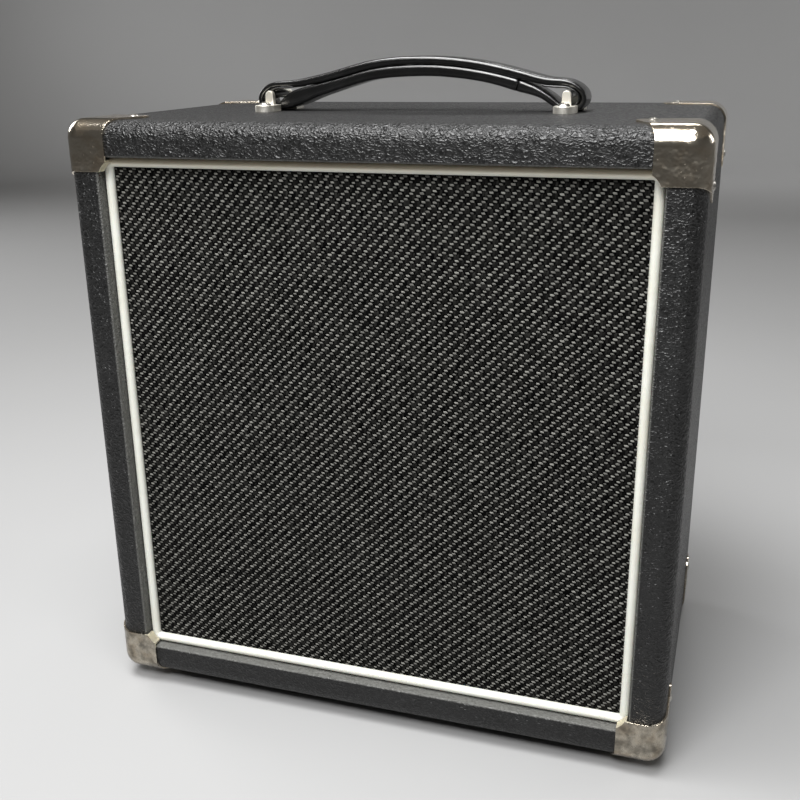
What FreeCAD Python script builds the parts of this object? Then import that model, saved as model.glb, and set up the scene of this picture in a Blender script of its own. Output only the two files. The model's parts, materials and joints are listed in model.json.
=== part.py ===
import FreeCAD, Part
import math
import os

from FreeCAD import Vector

# Guitar speaker cabinet with one 10 inch loudspeaker and a semi-open back, in millimetres.
# +Z is up, the front faces -Y, and the origin is on the floor under the middle of the cabinet.

# Cabinet shell, measured over the covering
cabinet_width = 399.0
cabinet_height = 402.0
cabinet_depth = 250.0
edge_radius = 11.0
panel_thickness = 20.5
finger_count = 7
covering_thickness = 1.0
opening_corner_radius = 3.0
opening_edge_radius = 1.6
batten_size = 18.0

# Grille and baffle, from the front inwards
grille_recess = 11.0
cloth_thickness = 1.0
grille_frame_thickness = 8.0
grille_rail_width = 26.0
piping_diameter = 6.0
piping_proud = 4.8
piping_gap = 0.6
piping_corner_radius = 7.0
piping_tail_thickness = 0.6
piping_tail_inset = 0.2
touch_pad_thickness = 3.0
touch_pad_width = 18.0
touch_pad_length = 60.0
touch_pad_height_share = 0.5
baffle_thickness = 15.0
baffle_clearance = 0.5
baffle_hole_radius = 115.0

# Semi-open back
back_recess = 8.0
back_panel_thickness = 12.0
back_clearance = 0.5
back_upper_height = 105.0
back_lower_height = 125.0
cup_washer_radius = 7.0
cup_washer_height = 2.0

# Metal corners
corner_thickness = 1.2
corner_gap = 0.1
corner_plate_width = 30.0
corner_plate_height = 31.5
corner_leg_depth = 46.0
corner_lobe_radius = 9.5
corner_notch_radius = 14.0
corner_lip_clearance = 0.5
corner_screw_inset = 34.0
corner_screw_depth = 31.0

# Strap handle and its metal loops
handle_bar_span = 208.0
handle_bar_radius = 2.2
handle_bar_rise = 10.9
strap_width = 25.0
strap_thickness = 3.6
strap_overhang = 13.0
strap_rest_gap = 0.8
strap_eye_height = 13.0
strap_arch_height = 36.1
strap_upper_thickness = 5.4
strap_end_rise = 1.8
strap_seam_gap = 0.4
grip_thickness = 7.8
ear_clearance = 1.0
ear_thickness = 4.0
ear_head_radius = 2.8
ear_base_width = 7.0
handle_foot_width = 14.0
handle_foot_length = 14.0
handle_foot_thickness = 4.5
# Places along the handle, as shares of the distance from its middle to a bar
arch_end_share = 0.86
eye_tip_share = 0.81
eye_floor_share = 0.95
underside_end_share = 0.83
landing_share = 0.94
grip_left_share = 0.93
grip_right_share = 0.67

# Rubber feet
foot_height = 9.0
foot_top_radius = 15.0
foot_bottom_radius = 12.5
foot_corner_gap = 6.0
foot_depth_inset = 42.0
foot_recess_radius = 6.5
foot_recess_depth = 4.5

# Screws: trim screws hold the corners and the jack plate, panel screws hold the rest
trim_head_radius = 3.2
trim_head_height = 1.3
trim_shank_radius = 1.6
trim_bite = 10.0
panel_head_radius = 4.4
panel_head_height = 2.4
panel_shank_radius = 2.0
panel_bite = 13.0
pilot_clearance = 0.05
slot_width_share = 0.28
slot_length_share = 0.62
slot_depth_share = 0.6
screw_tip_share = 2.0

# Loudspeaker: depths are measured back from the baffle board
gasket_thickness = 2.0
gasket_inner_radius = 116.5
rim_radius = 129.0
rim_clearance = 1.0
rim_inner_radius = 109.0
basket_thickness = 1.5
bowl_radius = 105.0
bowl_depth = 12.0
ledge_outer_radius = 74.0
ledge_inner_radius = 60.0
ledge_depth = 46.0
seat_outer_radius = 57.0
seat_inner_radius = 26.0
seat_depth = 60.0
window_count = 6
window_angle = 44.0
window_start_share = 0.1
window_end_share = 0.9
window_cut_share = 4.0
cone_thickness = 0.8
cone_edge_radius = 93.0
cone_lip_width = 4.0
cone_front_depth = 3.4
cone_neck_depth = 36.0
cone_collar_length = 4.0
surround_thickness = 0.6
surround_flange_width = 8.0
surround_wave_height = 1.5
surround_waves = 2.5
spider_thickness = 0.6
spider_wave_height = 1.4
spider_waves = 4.5
spider_flange_width = 7.0
spider_collar_width = 3.0
spider_edge_gap = 3.0
wave_steps = 8
dust_cap_radius = 33.0
dust_cap_height = 10.0
dust_cap_thickness = 0.6
dust_cap_steps = 8
glue_gap = 0.1
pole_radius = 18.5
pole_clearance = 0.5
former_thickness = 0.3
winding_thickness = 0.7
winding_length = 14.0
coil_clearance = 0.6
top_plate_radius = 46.0
top_plate_thickness = 6.0
magnet_radius = 65.0
magnet_inner_radius = 30.0
magnet_thickness = 18.0
back_plate_radius = 60.0
back_plate_thickness = 7.0
bolt_circle_radius = 123.0
bolt_count = 4
bolt_radius = 2.4
bolt_head_radius = 4.5
bolt_head_height = 4.0
bolt_clearance = 0.3
tee_barrel_radius = 3.6
tee_flange_radius = 9.5
tee_flange_thickness = 1.2

# Loudspeaker terminals and the leads from the voice coil
terminal_board_width = 30.0
terminal_board_thickness = 1.6
terminal_board_top = 62.0
terminal_board_bottom = 80.0
terminal_spacing = 18.0
tag_width = 5.0
tag_thickness = 0.8
tag_top = 66.0
tag_bottom = 99.0
tinsel_diameter = 1.2
# Route of a tinsel lead: distance below the loudspeaker axis, depth behind the baffle
tinsel_route = ((55.0, 21.4), (66.0, 25.0), (77.0, 31.0), (84.0, 38.5), (84.0, 48.1))

# Input jack on the lower back panel
jack_plate_width = 84.0
jack_plate_height = 52.0
jack_plate_thickness = 1.5
jack_plate_corner = 7.0
jack_plate_screw_inset = 7.5
jack_plate_bite = 8.0
jack_cutout_radius = 17.0
jack_bore_radius = 3.25
jack_bush_radius = 4.75
jack_bush_length = 6.4
jack_hole_clearance = 0.2
jack_housing_width = 18.0
jack_housing_height = 20.0
jack_housing_length = 24.0
jack_wall = 1.6
jack_washer_radius = 7.5
jack_washer_thickness = 0.8
jack_nut_radius = 7.4
jack_nut_thickness = 2.6
jack_tag_spacing = 10.0
jack_tag_length = 12.0
jack_leaf_gap = 0.4
jack_leaf_length = 13.0

# Inner wires, held by a saddle clip on the cabinet floor
wire_diameter = 2.6
wire_spacing = 4.8
push_on_width = 7.0
push_on_height = 3.0
push_on_length = 11.0
push_on_clearance = 0.1
push_on_grip_share = 0.62
clip_length = 8.0
clip_wall = 1.4
clip_clearance = 0.15
clip_foot = 4.5
wire_lift = 3.0
# Route of a wire: the share of the way from the jack to the loudspeaker, then the shares of the
# nearer end's sideways place and height above the floor
wire_jack_shares = ((0.14, 0.9, 0.9), (0.26, 0.6, 0.57), (0.38, 0.3, 0.2))
wire_floor_shares = (0.57, 0.79)
wire_speaker_shares = ((0.94, 0.35, 0.21), (1.0, 0.85, 0.57))

# Share of a straight run that the bend at either end of it takes up
bend_share = 0.45

# How far every cutting tool runs past what it cuts
overrun = 5.0

# Places that follow from the sizes above
half_width = cabinet_width / 2
half_depth = cabinet_depth / 2
base_z = foot_height
top_z = base_z + cabinet_height
middle_z = base_z + cabinet_height / 2
wood_half_width = half_width - covering_thickness
wood_half_depth = half_depth - covering_thickness
wood_half_height = cabinet_height / 2 - covering_thickness
inner_half_width = wood_half_width - panel_thickness
inner_half_height = wood_half_height - panel_thickness
clear_half_width = inner_half_width - covering_thickness
clear_half_height = inner_half_height - covering_thickness
floor_z = middle_z - inner_half_height
cloth_y = grille_recess - half_depth
frame_y = cloth_y + cloth_thickness
frame_back_y = frame_y + grille_frame_thickness
baffle_y = frame_back_y + touch_pad_thickness
baffle_back_y = baffle_y + baffle_thickness
back_face_y = half_depth - back_recess
back_inner_y = back_face_y - back_panel_thickness
bar_x = handle_bar_span / 2
former_inner_radius = pole_radius + pole_clearance
former_radius = former_inner_radius + former_thickness
winding_radius = former_radius + winding_thickness
seat_back = seat_depth + basket_thickness / 2
magnet_depth = seat_back + top_plate_thickness
back_plate_depth = magnet_depth + magnet_thickness
board_depth = ledge_depth + basket_thickness / 2
tag_depth = board_depth + terminal_board_thickness
jack_z = middle_z - clear_half_height + back_clearance + back_lower_height / 2
jack_back_y = back_face_y - jack_housing_length

UP = Vector(0, 0, 1)
BACK = Vector(0, 1, 0)


# Shared shapes

def block(x, y, z):
    """Box between two limits along each axis, given in either order."""
    low = Vector(min(x), min(y), min(z))
    return Part.makeBox(max(x) - low.x, max(y) - low.y, max(z) - low.z, low)


def about(middle, half):
    """Limits of a span with the given middle and half length."""
    return (middle - half, middle + half)


def rounded_box(x_half, y_half, z_half, radius):
    """Box centred on the cabinet with every edge rounded."""
    body = block(about(0, x_half), about(0, y_half), about(middle_z, z_half))
    return body.makeFillet(radius, body.Edges)


def runs_along(edge, direction):
    """Whether a straight edge is parallel to a direction."""
    return abs(edge.tangentAt(edge.FirstParameter).dot(direction)) > math.cos(math.radians(1))


def window_prism(x_half, z_half, y, radius):
    """Prism along Y, centred on the cabinet's front, whose section is a rounded rectangle."""
    body = block(about(0, x_half), y, about(middle_z, z_half))
    return body.makeFillet(radius, [edge for edge in body.Edges if runs_along(edge, BACK)])


def rod(start, direction, radius, length):
    """Cylinder from a start point along a direction."""
    return Part.makeCylinder(radius, length, start, direction)


def placed(shape, position, direction):
    """Copy of a shape made on +Z, moved to a position and turned to a direction."""
    copy = shape.copy()
    copy.Placement = FreeCAD.Placement(position, FreeCAD.Rotation(UP, direction))
    return copy


def fused(shapes):
    """One solid from overlapping or touching shapes."""
    return shapes[0].fuse(shapes[1:]).removeSplitter()


def group(shapes):
    """Several separate solids kept together."""
    return Part.makeCompound(shapes)


def offset_line(points, distance):
    """Open line moved sideways by a distance, with mitred corners."""
    normals = []
    for (x0, y0), (x1, y1) in zip(points, points[1:]):
        length = math.hypot(x1 - x0, y1 - y0)
        normals.append(((y0 - y1) / length, (x1 - x0) / length))
    before = normals[:1] + normals
    after = normals + normals[-1:]
    moved = []
    for (x, y), (ax, ay), (bx, by) in zip(points, before, after):
        scale = distance / (1 + ax * bx + ay * by)
        moved.append((x + (ax + bx) * scale, y + (ay + by) * scale))
    return moved


def turned(outline, angle=360):
    """Solid turned about the loudspeaker axis from (radius, depth) points."""
    corners = [Vector(radius, depth, 0) for radius, depth in outline]
    face = Part.Face(Part.makePolygon(corners + corners[:1]))
    solid = face.revolve(Vector(0, 0, 0), BACK, angle)
    solid.translate(Vector(0, baffle_back_y, middle_z))
    return solid


def turned_sheet(line, thickness, angle=360):
    """Sheet of even thickness turned about the loudspeaker axis from its middle line."""
    outer = offset_line(line, thickness / 2)
    inner = offset_line(line, -thickness / 2)
    return turned(outer + inner[::-1], angle)


def turned_ring(inner_radius, outer_radius, depth, thickness):
    """Flat ring on the loudspeaker axis."""
    back = depth + thickness
    return turned([(inner_radius, depth), (outer_radius, depth), (outer_radius, back), (inner_radius, back)])


def round_tube(route, diameter):
    """Tube along straight runs joined by tangent arcs as large as the runs allow."""
    edges = []
    start = route[0]
    for before, corner, after in zip(route, route[1:], route[2:]):
        incoming = corner - before
        outgoing = after - corner
        reach = bend_share * min(incoming.Length, outgoing.Length)
        half_turn = incoming.getAngle(outgoing) / 2
        incoming.normalize()
        outgoing.normalize()
        first = corner - incoming * reach
        last = corner + outgoing * reach
        inward = (outgoing - incoming).normalize()
        radius = reach / math.tan(half_turn)
        middle = corner + inward * (radius / math.cos(half_turn) - radius)
        edges.append(Part.LineSegment(start, first).toShape())
        edges.append(Part.Arc(first, middle, last).toShape())
        start = last
        print("arc radius", round(radius, 1), "of tube", diameter)
    edges.append(Part.LineSegment(start, route[-1]).toShape())
    path = Part.Wire(edges)
    heading = route[1] - route[0]
    section = Part.Wire(Part.Circle(route[0], heading, diameter / 2).toShape())
    tube = path.makePipeShell([section], True, False)
    share = tube.Volume / (math.pi * diameter ** 2 / 4 * path.Length)
    print("tube volume over section times length", round(share, 3))
    return tube


def screw(head_radius, head_height, shank_radius, length):
    """Round-headed cross-slot screw on +Z, with the seat of its head at the origin."""
    ball_radius = (head_radius ** 2 + head_height ** 2) / (2 * head_height)
    ball = Part.makeSphere(ball_radius, Vector(0, 0, head_height - ball_radius))
    head = Part.makeCylinder(head_radius, head_height).common(ball)
    across = about(0, head_radius * slot_length_share)
    width = about(0, head_radius * slot_width_share / 2)
    depth = (head_height * (1 - slot_depth_share), head_height + overrun)
    head = head.cut([block(across, width, depth), block(width, across, depth)])
    tip = screw_tip_share * shank_radius
    shank = Part.makeCylinder(shank_radius, length - tip, Vector(0, 0, tip - length))
    point = Part.makeCone(0, shank_radius, tip, Vector(0, 0, -length))
    return fused([head, shank, point])


def pilot(position, direction, radius, depth):
    """Screw hole that runs in from a seat against the direction the head faces."""
    return rod(position, direction * -1, radius + pilot_clearance, depth)


# Where each kind of screw sits: position of its seat and the direction its head faces

def mirrored_places(position, direction):
    """A place on the front right top of the cabinet, repeated at its eight corners."""
    places = []
    for side in (1, -1):
        for front in (1, -1):
            for high in (1, -1):
                z = middle_z + (position.z - middle_z) * high
                facing = Vector(direction.x * side, direction.y * front, direction.z * high)
                places.append((Vector(position.x * side, position.y * front, z), facing))
    return places


def corner_screw_places():
    """One screw in the top or bottom leg and one in the side leg of every corner."""
    seat = corner_gap + corner_thickness
    along = corner_screw_depth - half_depth
    on_top = Vector(half_width - corner_screw_inset, along, top_z + seat)
    on_side = Vector(half_width + seat, along, top_z - corner_screw_inset)
    return mirrored_places(on_top, UP) + mirrored_places(on_side, Vector(1, 0, 0))


def foot_places():
    """Middles of the four feet on the floor."""
    corner_reach = corner_screw_inset + corner_lobe_radius
    x = half_width - corner_reach - foot_corner_gap - foot_top_radius
    y = half_depth - foot_depth_inset
    return [Vector(sx * x, sy * y, 0) for sx in (-1, 1) for sy in (-1, 1)]


def foot_screw_places():
    """Seats of the foot screws, inside the feet, with their heads facing down."""
    return [(spot + Vector(0, 0, foot_recess_depth), UP * -1) for spot in foot_places()]


def handle_screw_places():
    """Seats of the handle screws on the four feet of the two loops."""
    y = strap_width / 2 + ear_clearance + ear_thickness + handle_foot_length / 2
    z = top_z + handle_foot_thickness
    return [(Vector(sx * bar_x, sy * y, z), UP) for sx in (-1, 1) for sy in (-1, 1)]


def batten_line():
    """Distance of the side battens' middle line from the middle of the cabinet."""
    return inner_half_width - batten_size / 2


def back_screw_places():
    """Two screws at each end of both back panels, seated on their cup washers."""
    edge = clear_half_height - back_clearance
    heights = []
    for side, panel_height in ((1, back_upper_height), (-1, back_lower_height)):
        heights.append(middle_z + side * (edge - batten_size))
        heights.append(middle_z + side * (edge - panel_height + batten_size))
    seat = back_face_y + cup_washer_height
    return [(Vector(sx * batten_line(), seat, z), BACK) for sx in (-1, 1) for z in heights]


def baffle_screw_places():
    """Three screws down each side of the baffle board, sunk level with its front."""
    rise = inner_half_height - batten_size
    seat = baffle_y + panel_head_height
    heights = (middle_z - rise, middle_z, middle_z + rise)
    return [(Vector(sx * batten_line(), seat, z), BACK * -1) for sx in (-1, 1) for z in heights]


def jack_screw_places():
    """Screws at the four corners of the jack plate."""
    x = jack_plate_width / 2 - jack_plate_screw_inset
    z = jack_plate_height / 2 - jack_plate_screw_inset
    seat = back_face_y + jack_plate_thickness
    return [(Vector(sx * x, seat, jack_z + sz * z), BACK) for sx in (-1, 1) for sz in (-1, 1)]


def speaker_bolt_places(depth):
    """Points on the bolt circle at a depth behind the baffle board."""
    places = []
    for index in range(bolt_count):
        angle = math.radians(360 * (index + 0.5) / bolt_count)
        x = bolt_circle_radius * math.cos(angle)
        z = middle_z + bolt_circle_radius * math.sin(angle)
        places.append(Vector(x, baffle_back_y + depth, z))
    return places


def screw_set(places, head_radius, head_height, shank_radius, length):
    """Identical screws at a list of places."""
    pattern = screw(head_radius, head_height, shank_radius, length)
    return group([placed(pattern, position, direction) for position, direction in places])


def pilot_set(places, radius, depth):
    """Holes for the screws at a list of places."""
    return [pilot(position, direction, radius, depth) for position, direction in places]


corner_screw_length = corner_thickness + corner_gap + covering_thickness + trim_bite
foot_screw_length = foot_height - foot_recess_depth + covering_thickness + panel_bite
handle_screw_length = handle_foot_thickness + covering_thickness + panel_bite
back_screw_length = cup_washer_height + back_panel_thickness + panel_bite
baffle_screw_length = baffle_thickness - panel_head_height + panel_bite
jack_screw_length = jack_plate_thickness + jack_plate_bite


def shell_pilots():
    """Holes that the corner, foot and handle screws make in the covering and the panels."""
    return (pilot_set(corner_screw_places(), trim_shank_radius, corner_screw_length)
            + pilot_set(foot_screw_places(), panel_shank_radius, foot_screw_length)
            + pilot_set(handle_screw_places(), panel_shank_radius, handle_screw_length))


# Cabinet shell

def wood_envelope():
    """Outside of the four glued panels, before the covering."""
    return rounded_box(wood_half_width, wood_half_depth, wood_half_height, edge_radius - covering_thickness)


def finger_spans(first):
    """Every second finger's span along the depth, starting at a given finger."""
    length = 2 * wood_half_depth / finger_count
    return [(index * length - wood_half_depth, (index + 1) * length - wood_half_depth)
            for index in range(first, finger_count, 2)]


def finger_blocks(first, sides, levels):
    """Corner blocks of every second finger at the chosen sides and levels."""
    blocks = []
    for side in sides:
        for level in levels:
            x = (side * inner_half_width, side * wood_half_width)
            z = (middle_z + level * inner_half_height, middle_z + level * wood_half_height)
            blocks += [block(x, span, z) for span in finger_spans(first)]
    return blocks


def side_panel(side):
    """Side panel with the first, third and later fingers at its top and bottom ends."""
    slab = block((side * inner_half_width, side * wood_half_width), about(0, wood_half_depth),
                 about(middle_z, wood_half_height))
    slab = slab.cut(finger_blocks(1, (side,), (1, -1)))
    return slab.common(wood_envelope()).cut(shell_pilots())


def level_panel(level):
    """Top or bottom panel, whose fingers fill the gaps in the side panels."""
    slab = block(about(0, inner_half_width), about(0, wood_half_depth),
                 (middle_z + level * inner_half_height, middle_z + level * wood_half_height))
    panel = fused([slab] + finger_blocks(1, (1, -1), (level,)))
    return panel.common(wood_envelope()).cut(shell_pilots())


def vinyl_covering():
    """Skin over the shell, turned in round the front and back openings."""
    through = window_prism(clear_half_width, clear_half_height, about(0, half_depth + overrun),
                           opening_corner_radius)
    ring = rounded_box(half_width, half_depth, cabinet_height / 2, edge_radius).cut(through)
    mouth = []
    for edge in ring.Edges:
        bounds = edge.BoundBox
        flat = bounds.YLength < opening_edge_radius / 2
        outermost = abs(bounds.YMin) > half_depth - opening_edge_radius / 2
        inside = max(abs(bounds.XMin), abs(bounds.XMax)) < inner_half_width
        if flat and outermost and inside:
            mouth.append(edge)
    ring = ring.makeFillet(opening_edge_radius, mouth)
    wood = wood_envelope().cut(block(about(0, inner_half_width), about(0, half_depth),
                                     about(middle_z, inner_half_height)))
    bare = block(about(0, inner_half_width), (baffle_back_y, back_inner_y),
                 about(middle_z, inner_half_height))
    return ring.cut([wood, bare] + shell_pilots())


def side_battens(y, screws, length):
    """Pair of upright battens glued to the side panels, hollowed where they would meet the loudspeaker."""
    relief = rod(Vector(0, y[0] - overrun, middle_z), BACK, rim_radius + rim_clearance,
                 y[1] - y[0] + 2 * overrun)
    tools = pilot_set(screws, panel_shank_radius, length) + [relief]
    return group([block((side * (inner_half_width - batten_size), side * inner_half_width), y,
                        about(middle_z, inner_half_height)).cut(tools) for side in (-1, 1)])


def cross_battens(y):
    """Pair of level battens between the upright ones."""
    x = about(0, inner_half_width - batten_size)
    return group([block(x, y, (middle_z + level * (inner_half_height - batten_size),
                               middle_z + level * inner_half_height)) for level in (-1, 1)])


# Grille and baffle

piping_half_width = clear_half_width - piping_gap
piping_half_height = clear_half_height - piping_gap
tail_margin = piping_tail_inset + piping_tail_thickness
frame_margin = tail_margin + cloth_thickness


def grille_prism(margin, y, radius):
    """Prism along Y at a margin inside the outside of the piping."""
    return window_prism(piping_half_width - margin, piping_half_height - margin, y, radius)


def grille_frame():
    """Wooden frame that the cloth is stretched over."""
    corner = piping_corner_radius - frame_margin
    outside = grille_prism(frame_margin, (frame_y, frame_back_y), corner)
    return outside.cut(grille_prism(frame_margin + grille_rail_width, (frame_y, frame_back_y), corner))


def grille_cloth():
    """Cloth across the front of the frame and down its edges."""
    outside = grille_prism(tail_margin, (cloth_y, frame_back_y), piping_corner_radius - tail_margin)
    inside = grille_prism(frame_margin, (frame_y, frame_back_y), piping_corner_radius - frame_margin)
    return outside.cut(inside)


def rounded_loop(x_half, z_half, y, radius):
    """Closed path round a rectangle with rounded corners, starting in the middle of its foot."""
    low, high = middle_z - z_half, middle_z + z_half
    chord = radius * (1 - math.sqrt(0.5))
    turns = [((x_half - radius, low), (x_half - chord, low + chord), (x_half, low + radius)),
             ((x_half, high - radius), (x_half - chord, high - chord), (x_half - radius, high)),
             ((radius - x_half, high), (chord - x_half, high - chord), (-x_half, high - radius)),
             ((-x_half, low + radius), (chord - x_half, low + chord), (radius - x_half, low))]
    edges = []
    last = Vector(0, y, low)
    for turn in turns:
        first, middle, end = [Vector(x, y, z) for x, z in turn]
        edges.append(Part.LineSegment(last, first).toShape())
        edges.append(Part.Arc(first, middle, end).toShape())
        last = end
    edges.append(Part.LineSegment(last, Vector(0, y, low)).toShape())
    return Part.Wire(edges)


def grille_piping():
    """White bead round the edge of the cloth, with a flat tail down the edge of the frame."""
    radius = piping_diameter / 2
    bead_y = cloth_y - piping_proud + radius
    path = rounded_loop(piping_half_width - radius, piping_half_height - radius, bead_y,
                        piping_corner_radius - radius)
    start = Vector(0, bead_y, middle_z - piping_half_height + radius)
    section = Part.Wire(Part.Circle(start, Vector(1, 0, 0), radius).toShape())
    bead = path.makePipeShell([section], True, False)
    bead = bead.cut(block(about(0, half_width), (cloth_y, cloth_y + piping_diameter),
                          about(middle_z, half_width + half_depth)))
    tail_y = (bead_y, frame_back_y)
    tail = grille_prism(piping_tail_inset, tail_y, piping_corner_radius - piping_tail_inset)
    tail = tail.cut(grille_prism(tail_margin, tail_y, piping_corner_radius - tail_margin))
    return fused([bead, tail])


def grille_touch_pads():
    """Four hook-and-loop pads between the grille frame and the baffle board."""
    x = piping_half_width - frame_margin - grille_rail_width / 2
    rise = piping_half_height * touch_pad_height_share
    return group([block(about(sx * x, touch_pad_width / 2), (frame_back_y, baffle_y),
                        about(middle_z + sz * rise, touch_pad_length / 2))
                  for sx in (-1, 1) for sz in (-1, 1)])


def sunk_heads(places, margin):
    """Countersinks that let screw heads in below a surface."""
    return [placed(Part.makeCone(panel_shank_radius + margin, panel_head_radius + margin, panel_head_height),
                   position, direction) for position, direction in places]


def baffle_board():
    """Board that carries the loudspeaker, with its round hole and its tee nut holes."""
    board = window_prism(clear_half_width - baffle_clearance, clear_half_height - baffle_clearance,
                         (baffle_y, baffle_back_y), opening_corner_radius)
    tools = [rod(Vector(0, baffle_y - overrun, middle_z), BACK, baffle_hole_radius,
                 baffle_thickness + 2 * overrun)]
    tools += [rod(spot, BACK * -1, tee_barrel_radius, baffle_thickness) for spot in speaker_bolt_places(0)]
    tools += pilot_set(baffle_screw_places(), panel_shank_radius, baffle_screw_length)
    tools += sunk_heads(baffle_screw_places(), pilot_clearance)
    return board.cut(tools)


def sunk_screws(places, length):
    """Flat-headed screws whose cone heads start at their places."""
    tip = screw_tip_share * panel_shank_radius
    head = Part.makeCone(panel_shank_radius, panel_head_radius, panel_head_height)
    shank = Part.makeCylinder(panel_shank_radius, length - tip, Vector(0, 0, tip - length))
    point = Part.makeCone(0, panel_shank_radius, tip, Vector(0, 0, -length))
    pattern = fused([head, shank, point])
    return group([placed(pattern, position, direction) for position, direction in places])


# Back panels

def back_panel(level, height):
    """Upper or lower back panel, screwed to the rear battens."""
    edge = clear_half_height - back_clearance
    y = (back_inner_y, back_face_y)
    whole = window_prism(clear_half_width - back_clearance, edge, y, opening_corner_radius)
    span = block(about(0, clear_half_width), y, (middle_z + level * edge, middle_z + level * (edge - height)))
    return whole.common(span).cut(pilot_set(back_screw_places(), panel_shank_radius, back_screw_length))


def back_panel_lower():
    """Lower back panel with the round cut-out for the jack."""
    cutout = rod(Vector(0, back_inner_y - overrun, jack_z), BACK, jack_cutout_radius,
                 back_panel_thickness + 2 * overrun)
    pilots = pilot_set(jack_screw_places(), trim_shank_radius, jack_screw_length)
    return back_panel(-1, back_lower_height).cut([cutout] + pilots)


def cup_washers():
    """Dished washers under the back panel screws."""
    hole = panel_shank_radius + pilot_clearance
    cup = Part.makeCone(cup_washer_radius, panel_head_radius, cup_washer_height)
    cup = cup.cut(Part.makeCylinder(hole, cup_washer_height))
    drop = BACK * cup_washer_height
    return group([placed(cup, position - drop, direction) for position, direction in back_screw_places()])


# Metal corners

def corner_lip(inset, outline_radius):
    """Prism that follows the opening of the cabinet at an inset, from the corner's face inwards."""
    lip_depth = grille_recess - piping_proud - corner_lip_clearance
    y = (-half_depth - corner_gap - corner_thickness, lip_depth - half_depth)
    return window_prism(clear_half_width - inset, clear_half_height - inset, y, outline_radius)


def tangent_point(point, centre, radius, turn):
    """Where a straight line from a point touches a circle, on the side that a signed turn of one gives."""
    reach = point - centre
    swing = turn * math.degrees(math.acos(radius / reach.Length))
    return centre + FreeCAD.Rotation(UP, swing).multVec(reach) * (radius / reach.Length)


def corner_flange(front_reach):
    """Space of a flange: it widens from the edge of the front plate to a round lobe about its screw."""
    lobe = Vector(-corner_screw_inset, corner_screw_depth, -edge_radius)
    front = Vector(-front_reach, 0, -edge_radius)
    back = Vector(-edge_radius, corner_leg_depth, -edge_radius)
    outline = [Vector(overrun, -overrun, -edge_radius),
               Vector(overrun, corner_leg_depth, -edge_radius),
               back,
               tangent_point(back, lobe, corner_lobe_radius, 1),
               tangent_point(front, lobe, corner_lobe_radius, -1),
               front,
               Vector(-front_reach, -overrun, -edge_radius)]
    height = edge_radius + overrun
    prism = Part.Face(Part.makePolygon(outline + outline[:1])).extrude(UP * height)
    return fused([prism, rod(lobe, UP, corner_lobe_radius, height)])


def corner_pattern():
    """Front right top corner: plate, top and side flanges over the edges, lip turned into the opening."""
    gap, outside = corner_gap, corner_gap + corner_thickness
    inner = rounded_box(half_width + gap, half_depth + gap, cabinet_height / 2 + gap, edge_radius + gap)
    outer = rounded_box(half_width + outside, half_depth + outside, cabinet_height / 2 + outside,
                        edge_radius + outside)
    plate = block((half_width - corner_plate_width, half_width + overrun),
                  (-half_depth - overrun, edge_radius - half_depth),
                  (top_z - corner_plate_height, top_z + overrun))
    edge = Vector(half_width, -half_depth, top_z)
    top = corner_flange(corner_plate_width).translate(edge)
    side = corner_flange(corner_plate_height).mirror(Vector(0, 0, 0), Vector(1, 0, -1)).translate(edge)
    legs = outer.cut(inner).common(fused([plate, top, side]))
    notch = corner_lip(outside, corner_notch_radius - corner_thickness)
    lip = corner_lip(gap, corner_notch_radius).cut(notch).common(plate)
    return fused([legs.cut(notch), lip])


def corner_at(pattern, side, front, high):
    """The corner pattern mirrored to one of the eight corners of the cabinet."""
    centre = Vector(0, 0, middle_z)
    shape = pattern
    for flip, normal in ((side, Vector(1, 0, 0)), (front, BACK), (high, UP)):
        if flip < 0:
            shape = shape.mirror(centre, normal)
    return shape


def corners():
    """The eight corners by name, each drilled for its screws."""
    tools = pilot_set(corner_screw_places(), trim_shank_radius, corner_screw_length)
    pattern = corner_pattern().cut(tools)
    shapes = {}
    for front, depth_name in ((1, "front"), (-1, "rear")):
        for high, height_name in ((1, "top"), (-1, "bottom")):
            for side, side_name in ((-1, "left"), (1, "right")):
                name = "corner_" + "_".join((depth_name, height_name, side_name))
                shapes[name] = corner_at(pattern, side, front, high)
    return shapes


# Strap handle

loop_radius = strap_eye_height / 2 + strap_thickness
loop_x = bar_x + strap_overhang - loop_radius
loop_z = top_z + strap_rest_gap + loop_radius
bar_z = top_z + handle_bar_rise
arch_z = top_z + strap_arch_height
split_z = arch_z - strap_upper_thickness
eye_top_z = loop_z + strap_eye_height / 2
eye_low_z = loop_z - strap_eye_height / 2


def strap_point(x, z):
    """Point on the front edge of the strap."""
    return Vector(x, -strap_width / 2, z)


def strap_face(steps):
    """Face from a list of (x, z) points, where a step of two points is an arc through the first."""
    edges = []
    start = strap_point(*steps[0][0])
    for step in steps[1:]:
        points = [strap_point(*point) for point in step]
        if len(points) == 1:
            edges.append(Part.LineSegment(start, points[0]).toShape())
        else:
            edges.append(Part.Arc(start, *points).toShape())
        start = points[-1]
    return Part.Face(Part.Wire(edges))


def strap_body(steps):
    """Outline in the plane of the handle, given the strap's width."""
    return strap_face(steps).extrude(BACK * strap_width)


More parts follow.
